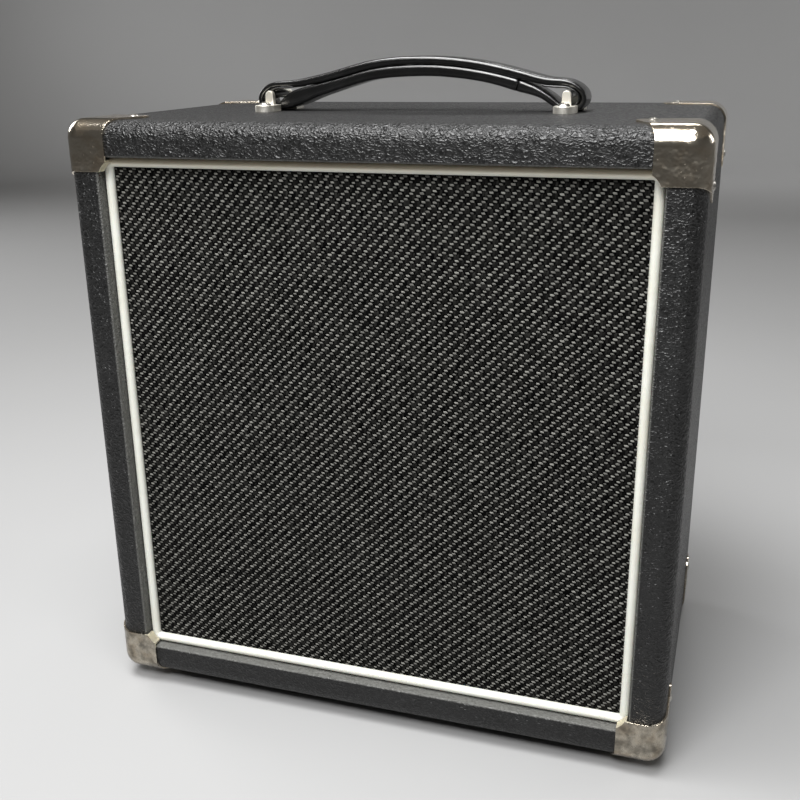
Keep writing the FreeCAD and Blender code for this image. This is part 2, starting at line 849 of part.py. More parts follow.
def whole_strap():
    """Both layers of the handle with the two eyes that the bars pass through."""
    arch_x = arch_end_share * bar_x
    arch_end_z = loop_z + loop_radius + strap_end_rise
    under_x = underside_end_share * bar_x
    under_z = top_z + strap_rest_gap + strap_thickness
    land_x = landing_share * bar_x
    rest_z = top_z + strap_rest_gap
    end_x = loop_x + loop_radius
    outline = [[(-arch_x, arch_end_z)],
               [(0, arch_z), (arch_x, arch_end_z)],
               [(loop_x, loop_z + loop_radius)],
               [(end_x, loop_z), (loop_x, rest_z)],
               [(land_x, rest_z)],
               [(under_x, under_z)],
               [(0, split_z - grip_thickness), (-under_x, under_z)],
               [(-land_x, rest_z)],
               [(-loop_x, rest_z)],
               [(-end_x, loop_z), (-loop_x, loop_z + loop_radius)],
               [(-arch_x, arch_end_z)]]
    body = strap_body(outline)
    eyes = []
    for side in (-1, 1):
        tip = (side * eye_tip_share * bar_x, eye_top_z)
        turn = (side * (loop_x + strap_eye_height / 2), loop_z)
        eyes.append(strap_body([[tip],
                                [(side * loop_x, eye_top_z)],
                                [turn, (side * loop_x, eye_low_z)],
                                [(side * eye_floor_share * bar_x, eye_low_z)],
                                [tip]]))
    return body.cut(eyes)


def grip_zone(gap):
    """Space of the lower layer: under an arch between the eyes, and left as far as the loop."""
    tip_x = eye_tip_share * bar_x
    left = gap - grip_left_share * bar_x
    right = grip_right_share * bar_x - gap
    under = strap_body([[(-tip_x, eye_top_z)],
                        [(0, split_z), (tip_x, eye_top_z)],
                        [(tip_x, top_z)],
                        [(-tip_x, top_z)],
                        [(-tip_x, eye_top_z)]])
    y = about(0, strap_width / 2)
    end = block((left, -tip_x), y, (top_z, eye_top_z))
    limit = block((left, right), y, (top_z, arch_z))
    return fused([under, end]).common(limit)


def handle_bracket(side):
    """Metal loop: two screwed feet, two ears and the bar that the strap hangs on."""
    x = side * bar_x
    ear_y = strap_width / 2 + ear_clearance
    reach = ear_y + ear_thickness
    pieces = [rod(Vector(x, -reach, bar_z), BACK, handle_bar_radius, 2 * reach)]
    half_foot = handle_foot_width / 2
    half_ear = ear_base_width / 2
    for end in (-1, 1):
        near, far = end * ear_y, end * reach
        corners_of_ear = [Vector(x - half_ear, near, top_z), Vector(x + half_ear, near, top_z),
                          Vector(x + ear_head_radius, near, bar_z), Vector(x - ear_head_radius, near, bar_z)]
        flank = Part.Face(Part.makePolygon(corners_of_ear + corners_of_ear[:1]))
        pieces.append(flank.extrude(Vector(0, far - near, 0)))
        pieces.append(rod(Vector(x, min(near, far), bar_z), BACK, ear_head_radius, ear_thickness))
        tip_y = far + end * (handle_foot_length - half_foot)
        pieces.append(block(about(x, half_foot), (near, tip_y), (top_z, top_z + handle_foot_thickness)))
        pieces.append(rod(Vector(x, tip_y, top_z), UP, half_foot, handle_foot_thickness))
    return fused(pieces).cut(pilot_set(handle_screw_places(), panel_shank_radius, handle_screw_length))


# Rubber feet

def rubber_feet():
    """Tapered feet with a recess for the screw head."""
    hole = panel_shank_radius + pilot_clearance
    foot = Part.makeCone(foot_bottom_radius, foot_top_radius, foot_height)
    recess = Part.makeCylinder(foot_recess_radius, foot_recess_depth)
    foot = foot.cut([recess, Part.makeCylinder(hole, foot_height)])
    return group([placed(foot, spot, UP) for spot in foot_places()])


# Loudspeaker

def basket_line():
    """Middle line of the pressed basket, from its rim to the seat of the magnet."""
    rim_depth = gasket_thickness + basket_thickness / 2
    return [(rim_radius, rim_depth), (rim_inner_radius, rim_depth), (bowl_radius, bowl_depth),
            (ledge_outer_radius, ledge_depth), (ledge_inner_radius, ledge_depth),
            (seat_outer_radius, seat_depth), (seat_inner_radius, seat_depth)]


def speaker_basket():
    """Pressed basket with windows in its bowl and four bolt holes in its rim."""
    bowl = ((bowl_radius, bowl_depth), (ledge_outer_radius, ledge_depth))
    stretch = [tuple(a + (b - a) * share for a, b in zip(*bowl))
               for share in (window_start_share, window_end_share)]
    window = turned_sheet(stretch, window_cut_share * basket_thickness, window_angle)
    axis_point = Vector(0, 0, middle_z)
    windows = []
    for index in range(window_count):
        opening = window.copy()
        opening.rotate(axis_point, BACK, 90 - window_angle / 2 + 360 * index / window_count)
        windows.append(opening)
    holes = [rod(spot, BACK, bolt_radius + bolt_clearance, gasket_thickness + 2 * basket_thickness)
             for spot in speaker_bolt_places(0)]
    return turned_sheet(basket_line(), basket_thickness).cut(windows + holes)


def speaker_gasket():
    """Ring between the rim and the baffle board."""
    holes = [rod(spot, BACK, bolt_radius + bolt_clearance, gasket_thickness)
             for spot in speaker_bolt_places(0)]
    return turned_ring(gasket_inner_radius, rim_radius, 0, gasket_thickness).cut(holes)


def cone_slope():
    """Depth lost per unit of radius along the side of the cone."""
    neck_radius = former_radius + glue_gap + cone_thickness / 2
    return (cone_neck_depth - cone_front_depth) / (cone_edge_radius - neck_radius)


def speaker_cone():
    """Paper cone with a collar round the former and a flat lip at its edge."""
    neck_radius = former_radius + glue_gap + cone_thickness / 2
    return turned_sheet([(neck_radius, cone_neck_depth + cone_collar_length), (neck_radius, cone_neck_depth),
                         (cone_edge_radius, cone_front_depth),
                         (cone_edge_radius + cone_lip_width, cone_front_depth)], cone_thickness)


def waves(start, end, height, count):
    """Points of a wavy line between two points, whose first and last half waves rise to the front."""
    steps = int(wave_steps * count)
    points = []
    for step in range(1, steps):
        share = step / steps
        lift = -height * math.sin(2 * math.pi * count * share)
        points.append((start[0] + (end[0] - start[0]) * share, start[1] + (end[1] - start[1]) * share + lift))
    return [start] + points + [end]


def speaker_surround():
    """Pleated edge from the front of the cone's lip to the front of the basket's rim."""
    inner_depth = cone_front_depth - cone_thickness / 2 - surround_thickness / 2
    outer_depth = gasket_thickness - surround_thickness / 2
    lip_radius = cone_edge_radius + cone_lip_width
    flange = gasket_inner_radius - glue_gap - surround_flange_width
    line = [(cone_edge_radius, inner_depth)]
    line += waves((lip_radius, inner_depth), (flange, outer_depth), surround_wave_height, surround_waves)
    line.append((gasket_inner_radius - glue_gap, outer_depth))
    return turned_sheet(line, surround_thickness)


def speaker_spider():
    """Pleated disc that centres the voice coil on the ledge of the basket."""
    depth = ledge_depth - basket_thickness / 2 - spider_thickness / 2
    collar = former_radius + glue_gap
    edge = ledge_inner_radius - spider_edge_gap
    line = [(collar, depth)]
    line += waves((collar + spider_collar_width, depth), (edge, depth), spider_wave_height, spider_waves)
    line.append((ledge_inner_radius + spider_flange_width, depth))
    return turned_sheet(line, spider_thickness)


def speaker_dust_cap():
    """Dome glued to the front of the cone."""
    neck_radius = former_radius + glue_gap + cone_thickness / 2
    slope = cone_slope()
    front = cone_neck_depth - (dust_cap_radius - neck_radius) * slope
    front -= cone_thickness / 2 * math.hypot(1, slope) + dust_cap_thickness + glue_gap
    ball = (dust_cap_radius ** 2 + dust_cap_height ** 2) / (2 * dust_cap_height)
    widest = math.asin(dust_cap_radius / ball)
    angles = [widest * step / dust_cap_steps for step in range(dust_cap_steps + 1)]
    line = [(ball * math.sin(angle), front + ball * (math.cos(widest) - math.cos(angle))) for angle in angles]
    outer = [(radius, depth - dust_cap_thickness) for radius, depth in line]
    return turned(outer + line[::-1])


def voice_coil_depth():
    """Depth of the front end of the winding, centred in the gap."""
    return seat_back + top_plate_thickness / 2 - winding_length / 2


def voice_coil_former():
    """Tube that joins the cone to the winding."""
    start = cone_neck_depth - glue_gap
    return turned_ring(former_inner_radius, former_radius, start, voice_coil_depth() + winding_length - start)


def voice_coil_winding():
    """Layer of wire round the end of the former."""
    return turned_ring(former_radius, winding_radius, voice_coil_depth(), winding_length)


def magnet_top_plate():
    """Front plate of the magnet, with the outer side of the magnetic gap."""
    return turned_ring(winding_radius + coil_clearance, top_plate_radius, seat_back, top_plate_thickness)


def magnet_ring():
    """Ferrite ring."""
    return turned_ring(magnet_inner_radius, magnet_radius, magnet_depth, magnet_thickness)


def magnet_back_plate():
    """Back plate with the pole that stands inside the voice coil."""
    back = back_plate_depth + back_plate_thickness
    return turned([(0, seat_back), (pole_radius, seat_back), (pole_radius, back_plate_depth),
                   (back_plate_radius, back_plate_depth), (back_plate_radius, back), (0, back)])


def hex_bar(radius, height):
    """Hexagonal bar on +Z."""
    angles = [math.radians(60 * step) for step in range(6)]
    corners_of_hex = [Vector(radius * math.cos(angle), radius * math.sin(angle), 0) for angle in angles]
    return Part.Face(Part.makePolygon(corners_of_hex + corners_of_hex[:1])).extrude(UP * height)


def speaker_bolts():
    """Hexagon bolts from behind the rim into the tee nuts."""
    grip = gasket_thickness + basket_thickness
    length = grip + baffle_thickness
    bolt = fused([hex_bar(bolt_head_radius, bolt_head_height),
                  Part.makeCylinder(bolt_radius, length, Vector(0, 0, -length))])
    return group([placed(bolt, spot, BACK) for spot in speaker_bolt_places(grip)])


def tee_nuts():
    """Tee nuts pressed into the front of the baffle board."""
    nut = fused([Part.makeCylinder(tee_barrel_radius, baffle_thickness),
                 Part.makeCylinder(tee_flange_radius, tee_flange_thickness, Vector(0, 0, baffle_thickness))])
    bore = Part.makeCylinder(bolt_radius + pilot_clearance, baffle_thickness + tee_flange_thickness)
    nut = nut.cut(bore)
    return group([placed(nut, spot, BACK * -1) for spot in speaker_bolt_places(0)])


def below_axis(distance):
    """Height of a point straight below the loudspeaker axis."""
    return middle_z - distance


def terminal_board():
    """Fibre board on the back of the basket's ledge."""
    return block(about(0, terminal_board_width / 2),
                 (baffle_back_y + board_depth, baffle_back_y + tag_depth),
                 (below_axis(terminal_board_top), below_axis(terminal_board_bottom)))


def speaker_tag(side, clearance):
    """Tag on the terminal board, or the slot that takes it when a clearance is given."""
    y = baffle_back_y + tag_depth
    return block(about(side * terminal_spacing / 2, tag_width / 2 + clearance),
                 (y - clearance, y + tag_thickness + clearance),
                 (below_axis(tag_top), below_axis(tag_bottom + clearance)))


def terminal_tags():
    """The two tags."""
    return group([speaker_tag(side, 0) for side in (-1, 1)])


def tinsel_leads():
    """Two limp leads from the back of the cone, out through a window, to the tags."""
    tubes = []
    for side in (-1, 1):
        route = [Vector(side * terminal_spacing / 2, baffle_back_y + depth, below_axis(drop))
                 for drop, depth in tinsel_route]
        tubes.append(round_tube(route, tinsel_diameter))
    return group(tubes)


# Input jack

def jack_point(y):
    """Point on the jack's axis."""
    return Vector(0, y, jack_z)


def jack_plate():
    """Plate over the cut-out in the lower back panel."""
    y = (back_face_y, back_face_y + jack_plate_thickness)
    plate = block(about(0, jack_plate_width / 2), y, about(jack_z, jack_plate_height / 2))
    plate = plate.makeFillet(jack_plate_corner, [edge for edge in plate.Edges if runs_along(edge, BACK)])
    tools = pilot_set(jack_screw_places(), trim_shank_radius, jack_screw_length)
    hole = rod(jack_point(back_face_y), BACK, jack_bush_radius + jack_hole_clearance, jack_plate_thickness)
    return plate.cut(tools + [hole])


def jack_tag(side, clearance):
    """Tag out of the back of the jack, or the slot that takes it when a clearance is given."""
    return block(about(side * jack_tag_spacing / 2, tag_thickness / 2 + clearance),
                 (jack_back_y + jack_wall + clearance, jack_back_y - jack_tag_length - clearance),
                 about(jack_z, tag_width / 2 + clearance))


def jack_housing():
    """Moulded housing with a bush through the plate, hollow behind the bush."""
    across = jack_housing_width / 2
    upright = jack_housing_height / 2
    shell = block(about(0, across), (jack_back_y, back_face_y), about(jack_z, upright))
    cavity = block(about(0, across - jack_wall), (jack_back_y + jack_wall, back_face_y - jack_wall),
                   about(jack_z, upright - jack_wall))
    bush = rod(jack_point(back_face_y), BACK, jack_bush_radius, jack_bush_length)
    bore = rod(jack_point(back_face_y - jack_wall), BACK, jack_bore_radius, jack_wall + jack_bush_length)
    slots = [jack_tag(side, 0) for side in (-1, 1)]
    return fused([shell.cut(cavity), bush]).cut([bore] + slots)


def jack_contacts():
    """Tip and sleeve contacts: a tag through the back wall and a leaf beside the plug."""
    contacts = []
    for side in (-1, 1):
        leaf_x = side * (jack_bore_radius + jack_leaf_gap)
        root = jack_back_y + jack_wall
        z = about(jack_z, tag_width / 2)
        leaf = block((leaf_x, leaf_x + side * tag_thickness), (root, root + jack_leaf_length), z)
        link = block((leaf_x, side * (jack_tag_spacing + tag_thickness) / 2), (root, root + tag_thickness), z)
        contacts.append(fused([jack_tag(side, 0), link, leaf]))
    return group(contacts)


def jack_washer():
    """Flat washer on the plate."""
    y = back_face_y + jack_plate_thickness
    hole = rod(jack_point(y), BACK, jack_bush_radius + jack_hole_clearance, jack_washer_thickness)
    return rod(jack_point(y), BACK, jack_washer_radius, jack_washer_thickness).cut(hole)


def jack_nut():
    """Hexagon nut on the bush."""
    y = back_face_y + jack_plate_thickness + jack_washer_thickness
    nut = placed(hex_bar(jack_nut_radius, jack_nut_thickness), jack_point(y), BACK)
    return nut.cut(rod(jack_point(y), BACK, jack_bush_radius + pilot_clearance, jack_nut_thickness))


# Inner wires

def push_on(lengthwise, end, tag_slot):
    """Push-on terminal: a sleeve over the end of a tag, slotted for it."""
    across = push_on_width / 2
    flat = push_on_height / 2
    if lengthwise == "z":
        body = block(about(end.x, across), about(end.y, flat), (end.z, end.z + push_on_length))
    else:
        body = block(about(end.x, flat), (end.y, end.y + push_on_length), about(end.z, across))
    return body.cut(tag_slot)


def wire_ends(side):
    """Where one wire leaves its push-on terminals at the jack and at the loudspeaker."""
    bare = push_on_length * (1 - push_on_grip_share)
    tag_y = baffle_back_y + tag_depth + tag_thickness / 2
    return (Vector(side * jack_tag_spacing / 2, jack_back_y - jack_tag_length - bare, jack_z),
            Vector(side * terminal_spacing / 2, tag_y, below_axis(tag_bottom) - bare))


def speaker_wire(side):
    """One insulated wire from a jack tag to a loudspeaker tag, with its two push-on terminals."""
    jack_end, speaker_end = wire_ends(side)
    low = Vector(side * wire_spacing / 2, 0, floor_z + wire_lift)

    def between(end, along, sideways, height):
        return Vector(low.x + (end.x - low.x) * sideways, jack_end.y + (speaker_end.y - jack_end.y) * along,
                      low.z + (end.z - low.z) * height)

    route = [jack_end]
    route += [between(jack_end, *shares) for shares in wire_jack_shares]
    route += [between(low, along, 0, 0) for along in wire_floor_shares]
    route += [between(speaker_end, *shares) for shares in wire_speaker_shares]
    route.append(speaker_end)
    tube = round_tube(route, wire_diameter)
    jack_sleeve = push_on("y", jack_end, jack_tag(side, push_on_clearance))
    speaker_sleeve = push_on("z", speaker_end, speaker_tag(side, push_on_clearance))
    return fused([tube, jack_sleeve, speaker_sleeve])


def wire_clip():
    """Saddle clip on the cabinet floor, over both wires."""
    jack_end, speaker_end = wire_ends(1)
    along = sum(wire_floor_shares) / len(wire_floor_shares)
    y = about(jack_end.y + (speaker_end.y - jack_end.y) * along, clip_length / 2)
    wire_z = floor_z + wire_lift
    half_tunnel = wire_spacing / 2 + wire_diameter / 2 + clip_clearance
    roof = wire_z + wire_diameter / 2 + clip_clearance
    tunnel_floor = wire_z - wire_diameter / 2 - clip_clearance
    saddle = block(about(0, half_tunnel + clip_wall), y, (floor_z, roof + clip_wall))
    base = block(about(0, half_tunnel + clip_wall + clip_foot), y, (floor_z, tunnel_floor))
    tunnel = block(about(0, half_tunnel), y, (tunnel_floor, roof))
    return fused([saddle, base]).cut(tunnel)


# The whole cabinet

def all_parts():
    """Every piece by its name."""
    front_y = (baffle_back_y, baffle_back_y + batten_size)
    rear_y = (back_inner_y - batten_size, back_inner_y)
    parts = {
        "left_side_panel": side_panel(-1),
        "right_side_panel": side_panel(1),
        "top_panel": level_panel(1),
        "bottom_panel": level_panel(-1),
        "vinyl_covering": vinyl_covering(),
        "front_side_battens": side_battens(front_y, baffle_screw_places(), baffle_screw_length),
        "front_cross_battens": cross_battens(front_y),
        "rear_side_battens": side_battens(rear_y, back_screw_places(), back_screw_length),
        "rear_cross_battens": cross_battens(rear_y),
        "baffle_board": baffle_board(),
        "baffle_screws": sunk_screws(baffle_screw_places(), baffle_screw_length),
        "grille_frame": grille_frame(),
        "grille_cloth": grille_cloth(),
        "grille_piping": grille_piping(),
        "grille_touch_pads": grille_touch_pads(),
        "back_panel_upper": back_panel(1, back_upper_height),
        "back_panel_lower": back_panel_lower(),
        "back_panel_washers": cup_washers(),
        "back_panel_screws": screw_set(back_screw_places(), panel_head_radius, panel_head_height,
                                       panel_shank_radius, back_screw_length),
        "corner_screws": screw_set(corner_screw_places(), trim_head_radius, trim_head_height,
                                   trim_shank_radius, corner_screw_length),
        "handle_strap": whole_strap().cut(grip_zone(0)),
        "handle_grip": whole_strap().common(grip_zone(strap_seam_gap)),
        "handle_bracket_left": handle_bracket(-1),
        "handle_bracket_right": handle_bracket(1),
        "handle_screws": screw_set(handle_screw_places(), panel_head_radius, panel_head_height,
                                   panel_shank_radius, handle_screw_length),
        "rubber_feet": rubber_feet(),
        "foot_screws": screw_set(foot_screw_places(), panel_head_radius, panel_head_height,
                                 panel_shank_radius, foot_screw_length),
        "speaker_basket": speaker_basket(),
        "speaker_gasket": speaker_gasket(),
        "speaker_cone": speaker_cone(),
        "speaker_surround": speaker_surround(),
        "speaker_dust_cap": speaker_dust_cap(),
        "voice_coil_former": voice_coil_former(),
        "voice_coil_winding": voice_coil_winding(),
        "speaker_spider": speaker_spider(),
        "magnet_top_plate": magnet_top_plate(),
        "magnet_ring": magnet_ring(),
        "magnet_back_plate": magnet_back_plate(),
        "speaker_bolts": speaker_bolts(),
        "speaker_tee_nuts": tee_nuts(),
        "terminal_board": terminal_board(),
        "terminal_tags": terminal_tags(),
        "tinsel_leads": tinsel_leads(),
        "jack_plate": jack_plate(),
        "jack_plate_screws": screw_set(jack_screw_places(), trim_head_radius, trim_head_height,
                                       trim_shank_radius, jack_screw_length),
        "jack_housing": jack_housing(),
        "jack_contacts": jack_contacts(),
        "jack_washer": jack_washer(),
        "jack_nut": jack_nut(),
        "speaker_wire_red": speaker_wire(-1),
        "speaker_wire_black": speaker_wire(1),
        "wire_clip": wire_clip(),
    }
    parts.update(corners())
    return parts


os.makedirs("parts", exist_ok=True)
for part_name, part_shape in all_parts().items():
    if not part_shape.isValid():
        print("not valid:", part_name)
    part_shape.exportStep(os.path.join("parts", part_name + ".step"))
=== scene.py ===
import json

import bmesh
import bpy
import numpy as np
from mathutils import Matrix, Vector


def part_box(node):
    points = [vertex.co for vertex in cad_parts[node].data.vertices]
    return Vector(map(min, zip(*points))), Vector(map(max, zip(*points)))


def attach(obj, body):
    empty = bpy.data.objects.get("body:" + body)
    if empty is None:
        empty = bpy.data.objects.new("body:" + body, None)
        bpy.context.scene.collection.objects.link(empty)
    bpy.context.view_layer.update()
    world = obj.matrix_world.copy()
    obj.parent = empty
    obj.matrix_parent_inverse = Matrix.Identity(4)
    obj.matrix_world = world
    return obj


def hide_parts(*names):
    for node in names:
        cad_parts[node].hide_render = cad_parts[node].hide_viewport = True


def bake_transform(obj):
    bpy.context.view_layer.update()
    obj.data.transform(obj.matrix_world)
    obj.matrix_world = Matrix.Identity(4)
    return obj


# Guitar speaker cabinet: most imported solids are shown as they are. The cloth, handle, wires, leads
# and pleated rings are made here; the corners and handle loops are copies with rounded edges.

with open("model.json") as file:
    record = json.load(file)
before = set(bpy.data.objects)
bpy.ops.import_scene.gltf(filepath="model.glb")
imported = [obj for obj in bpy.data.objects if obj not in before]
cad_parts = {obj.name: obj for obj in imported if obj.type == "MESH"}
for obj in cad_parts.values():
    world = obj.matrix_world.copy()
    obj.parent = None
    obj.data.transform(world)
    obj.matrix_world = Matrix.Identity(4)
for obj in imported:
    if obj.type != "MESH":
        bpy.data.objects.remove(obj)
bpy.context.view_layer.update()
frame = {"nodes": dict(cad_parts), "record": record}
mm = 0.001
opening_half_width = 177.2 * mm
opening_half_height = 178.7 * mm
opening_middle = 210.0 * mm
opening_soft_edge = 1.2 * mm
opening_fade = (-105.0 * mm, -100.0 * mm)
random_seed = 7
chance = np.random.default_rng(random_seed)


# Shader sockets and finishes

class Value:
    """A shader socket; arithmetic on it adds Math nodes to the finish that it belongs to."""

    def __init__(self, finish, socket):
        self.finish = finish
        self.socket = socket

    def math(self, operation, first, second):
        return self.finish.node("ShaderNodeMath", {"operation": operation}, {0: first, 1: second})

    def __add__(self, other):
        return self.math("ADD", self, other)

    def __radd__(self, other):
        return self.math("ADD", other, self)

    def __sub__(self, other):
        return self.math("SUBTRACT", self, other)

    def __rsub__(self, other):
        return self.math("SUBTRACT", other, self)

    def __mul__(self, other):
        return self.math("MULTIPLY", self, other)

    def __rmul__(self, other):
        return self.math("MULTIPLY", other, self)

    def __abs__(self):
        return self.math("ABSOLUTE", self, 0.0)


class Finish:
    """A procedural material: a Principled shader, its fixed values and the nodes that feed it."""

    def __init__(self, name, fixed):
        self.material = bpy.data.materials.new(name)
        self.material.use_nodes = True
        self.tree = self.material.node_tree
        self.shader = self.tree.nodes["Principled BSDF"]
        self.set_sockets(self.shader, fixed)
        self.place = self.node("ShaderNodeTexCoord", {}, {}, "Object")

    def set_sockets(self, made, values):
        for name, value in values.items():
            if isinstance(value, Value):
                self.tree.links.new(value.socket, made.inputs[name])
            else:
                made.inputs[name].default_value = value

    def node(self, kind, settings, values, output=0):
        """One node of any kind: settings, then its sockets' values or links; gives one output."""
        made = self.tree.nodes.new(kind)
        for name, setting in settings.items():
            setattr(made, name, setting)
        self.set_sockets(made, values)
        return Value(self, made.outputs[output])

    def vector_math(self, operation, values):
        return self.node("ShaderNodeVectorMath", {"operation": operation}, values)

    def stretched(self, scale, place=None):
        """Coordinates times a factor for each axis: a small one draws a pattern out that way."""
        return self.vector_math("MULTIPLY", {0: place or self.place, 1: scale})

    def noise(self, size, detail=2.0, rough=0.5, place=None):
        """Cloudy noise with features of about the given size in metres."""
        values = {"Vector": place or self.place, "Scale": 1 / size,
                  "Detail": detail, "Roughness": rough}
        return self.node("ShaderNodeTexNoise", {}, values, "Fac")

    def wandering(self, size, amount):
        """Object coordinates pushed about by noise of the given size."""
        values = {"Vector": self.place, "Scale": 1 / size}
        push = self.node("ShaderNodeTexNoise", {}, values, "Color")
        centred = self.vector_math("SUBTRACT", {0: push, 1: (0.5, 0.5, 0.5)})
        scaled = self.vector_math("SCALE", {0: centred, "Scale": amount})
        return self.vector_math("ADD", {0: self.place, 1: scaled})

    def cells(self, size, feature, place=None):
        values = {"Vector": place or self.place, "Scale": 1 / size}
        return self.node("ShaderNodeTexVoronoi", {"feature": feature}, values, "Distance")

    def axis(self, name, vector=None):
        return self.node("ShaderNodeSeparateXYZ", {}, {0: vector or self.place}, name)

    def step(self, value, low, high):
        """Smooth rise from 0 to 1 as a value goes from low to high."""
        smooth = {"interpolation_type": "SMOOTHSTEP"}
        values = {"Value": value, "From Min": low, "From Max": high}
        return self.node("ShaderNodeMapRange", smooth, values, "Result")

    def blend(self, share, first, second):
        """Colour between two colours."""
        return self.node("ShaderNodeMix", {"data_type": "RGBA"}, {0: share, 6: first, 7: second}, 2)

    def facing(self, name):
        """Share of the outward direction along one axis, in the object's own frame."""
        return self.axis(name, self.node("ShaderNodeTexCoord", {}, {}, "Normal"))

    def upward(self):
        return self.facing("Z")

    def inside_opening(self):
        """One on faces turned into the front opening, nought outside it and behind it."""
        across = self.step(abs(self.axis("X")), opening_half_width,
                           opening_half_width + opening_soft_edge)
        upright = self.step(abs(self.axis("Z") - opening_middle), opening_half_height,
                            opening_half_height + opening_soft_edge)
        behind = self.step(self.axis("Y"), *opening_fade)
        return (1.0 - across) * (1.0 - upright) * (1.0 - behind)

    def bump(self, height, depth):
        return self.node("ShaderNodeBump", {}, {"Height": height, "Distance": depth}, "Normal")

    def feed(self, values):
        self.set_sockets(self.shader, values)
        return self


def colour(red, green, blue):
    return (red, green, blue, 1.0)


def grey(level):
    return colour(level, level, level)


def leather_grain_vinyl():
    """Satin black vinyl pressed with wavy leather grain.

    Round pads parted by creases: the distance of two drawn-out noises from their middle value. The
    creases are painted darker than the pads, as painted shade.
    Fine pores, dust on top, painted light on the inner faces of the front opening."""
    drift_size, drift_reach = 8 * mm, 5 * mm
    wide_size, small_size, pore_size, grain_depth = 2.5 * mm, 1.4 * mm, 0.6 * mm, 0.95 * mm
    # The third size mottles the painted light on the inner faces of the front opening.
    dust_size, worn_size, scuff_size = 1.1 * mm, 50 * mm, 2.2 * mm
    finish = Finish("leather_grain_vinyl", {"Specular IOR Level": 0.5})
    drift = finish.stretched((0.75, 1.0, 1.0), finish.wandering(drift_size, drift_reach))
    wide_pads = abs(finish.noise(wide_size, 1.0, 0.5, drift) - 0.5)
    small_pads = abs(finish.noise(small_size, 1.0, 0.5, drift) - 0.5)
    pores = finish.noise(pore_size, 2.0, 0.6)
    flat_top = finish.step(finish.upward(), 0.9, 0.99)
    dust = finish.step(finish.noise(dust_size, 1.0), 0.67, 0.75) * flat_top
    inner_face = finish.inside_opening()
    pads = finish.step(wide_pads, 0.0, 0.10)
    # Creases painted darker than the pads: painted shade.
    base = finish.blend(pads, grey(0.0006), grey(0.003))
    worn = finish.blend(finish.step(finish.noise(worn_size), 0.45, 0.8), base, grey(0.005))
    dusty = finish.blend(dust * 0.3, worn, grey(0.10))
    # Pale grey, mottled, on the inner faces of the front opening: painted light where those faces
    # would lie in shade.
    opening_painted_light = 0.35 + finish.noise(scuff_size, 3.0, 0.6) * 0.9
    return finish.feed({
        "Base Color": finish.blend(inner_face * opening_painted_light, dusty, colour(0.15, 0.15, 0.14)),
        "Roughness": 0.58 - pads * 0.28 + pores * 0.06 + flat_top * 0.14 + inner_face * 0.12,
        "Normal": finish.bump(wide_pads * 2.0 + small_pads * 0.8 + pores * 0.05, grain_depth)})


def smooth_strap_vinyl():
    """Glossy black vinyl of the handle, with fine creases across it and rubbed patches."""
    crease_size, crease_depth, rubbed_size = 1.6 * mm, 0.06 * mm, 20 * mm
    grain_size, drift_size, drift_reach = 1.1 * mm, 3 * mm, 1 * mm
    finish = Finish("smooth_strap_vinyl", {"Specular IOR Level": 0.55, "Coat Roughness": 0.12})
    creases = finish.noise(crease_size, 3.0, 0.6, finish.stretched((1.0, 0.35, 1.0)))
    drift = finish.wandering(drift_size, drift_reach)
    grain = finish.step(finish.cells(grain_size, "DISTANCE_TO_EDGE", drift), 0.0, 0.25)
    rubbed = finish.step(finish.noise(rubbed_size), 0.45, 0.75)
    return finish.feed({
        "Base Color": finish.blend(rubbed, grey(0.003), grey(0.006)),
        "Roughness": 0.17 + creases * 0.1 - rubbed * 0.04,
        "Coat Weight": 0.3 + rubbed * 0.3,
        "Normal": finish.bump(creases * 0.6 + grain * 0.4, crease_depth)})


def woven_backing():
    """Dull black backing seen between the yarns of the grille cloth."""
    thread_size, thread_depth = 0.8 * mm, 0.3 * mm
    finish = Finish("woven_backing", {"Specular IOR Level": 0.02})
    threads = finish.noise(thread_size, 2.0, 0.6, finish.stretched((1.0, 1.0, 2.5)))
    return finish.feed({
        "Base Color": finish.blend(threads, grey(0.0006), grey(0.003)),
        "Roughness": 0.75 + threads * 0.2,
        "Normal": finish.bump(threads, thread_depth)})


def grille_yarn(name, dark, light, gloss, roughness):
    """Yarn of the grille cloth; its attribute gives each float's painted light, from painted shade
    to a painted highlight.
    """
    fibre_size, fibre_depth = 0.35 * mm, 0.08 * mm
    finish = Finish(name, {"Specular IOR Level": gloss})
    painted_light_level = finish.node("ShaderNodeAttribute", {"attribute_name": "painted_light_level"}, {}, "Fac")
    fibres = finish.noise(fibre_size, 2.0, 0.6)
    pale = colour(light, light * 0.985, light * 0.9)
    return finish.feed({
        "Base Color": finish.blend(painted_light_level * (0.7 + fibres * 0.6), grey(dark), pale),
        "Roughness": roughness + fibres * 0.2,
        "Normal": finish.bump(fibres, fibre_depth)})


def cream_bead():
    """Aged white vinyl piping: yellowed in patches, grimy specks, and darker and warmer along the
    top run under the lip, as painted shade.
    """
    patch_size, grime_size, ripple_size, ripple_depth = 35 * mm, 4 * mm, 6 * mm, 0.25 * mm
    top_run = (381.5 * mm, 386.5 * mm)
    finish = Finish("cream_bead", {"Specular IOR Level": 0.45, "Subsurface Weight": 0.05})
    patches = finish.step(finish.noise(patch_size, 3.0), 0.35, 0.75)
    grime = finish.step(finish.noise(grime_size, 4.0, 0.65), 0.58, 0.8)
    fresh = finish.blend(patches, colour(0.78, 0.77, 0.70), colour(0.73, 0.71, 0.62))
    # Darker, warmer beige along the top run: painted shade under the top lip.
    top_run_painted_shade = finish.step(finish.axis("Z"), *top_run)
    aged_and_shaded = finish.blend(top_run_painted_shade, fresh, colour(0.60, 0.52, 0.39))
    ripple = finish.noise(ripple_size, 2.0)
    return finish.feed({
        "Base Color": finish.blend(grime * 0.12, aged_and_shaded, colour(0.5, 0.47, 0.38)),
        "Roughness": 0.34 + grime * 0.25 + patches * 0.06,
        "Normal": finish.bump(ripple + grime * 0.3, ripple_depth)})


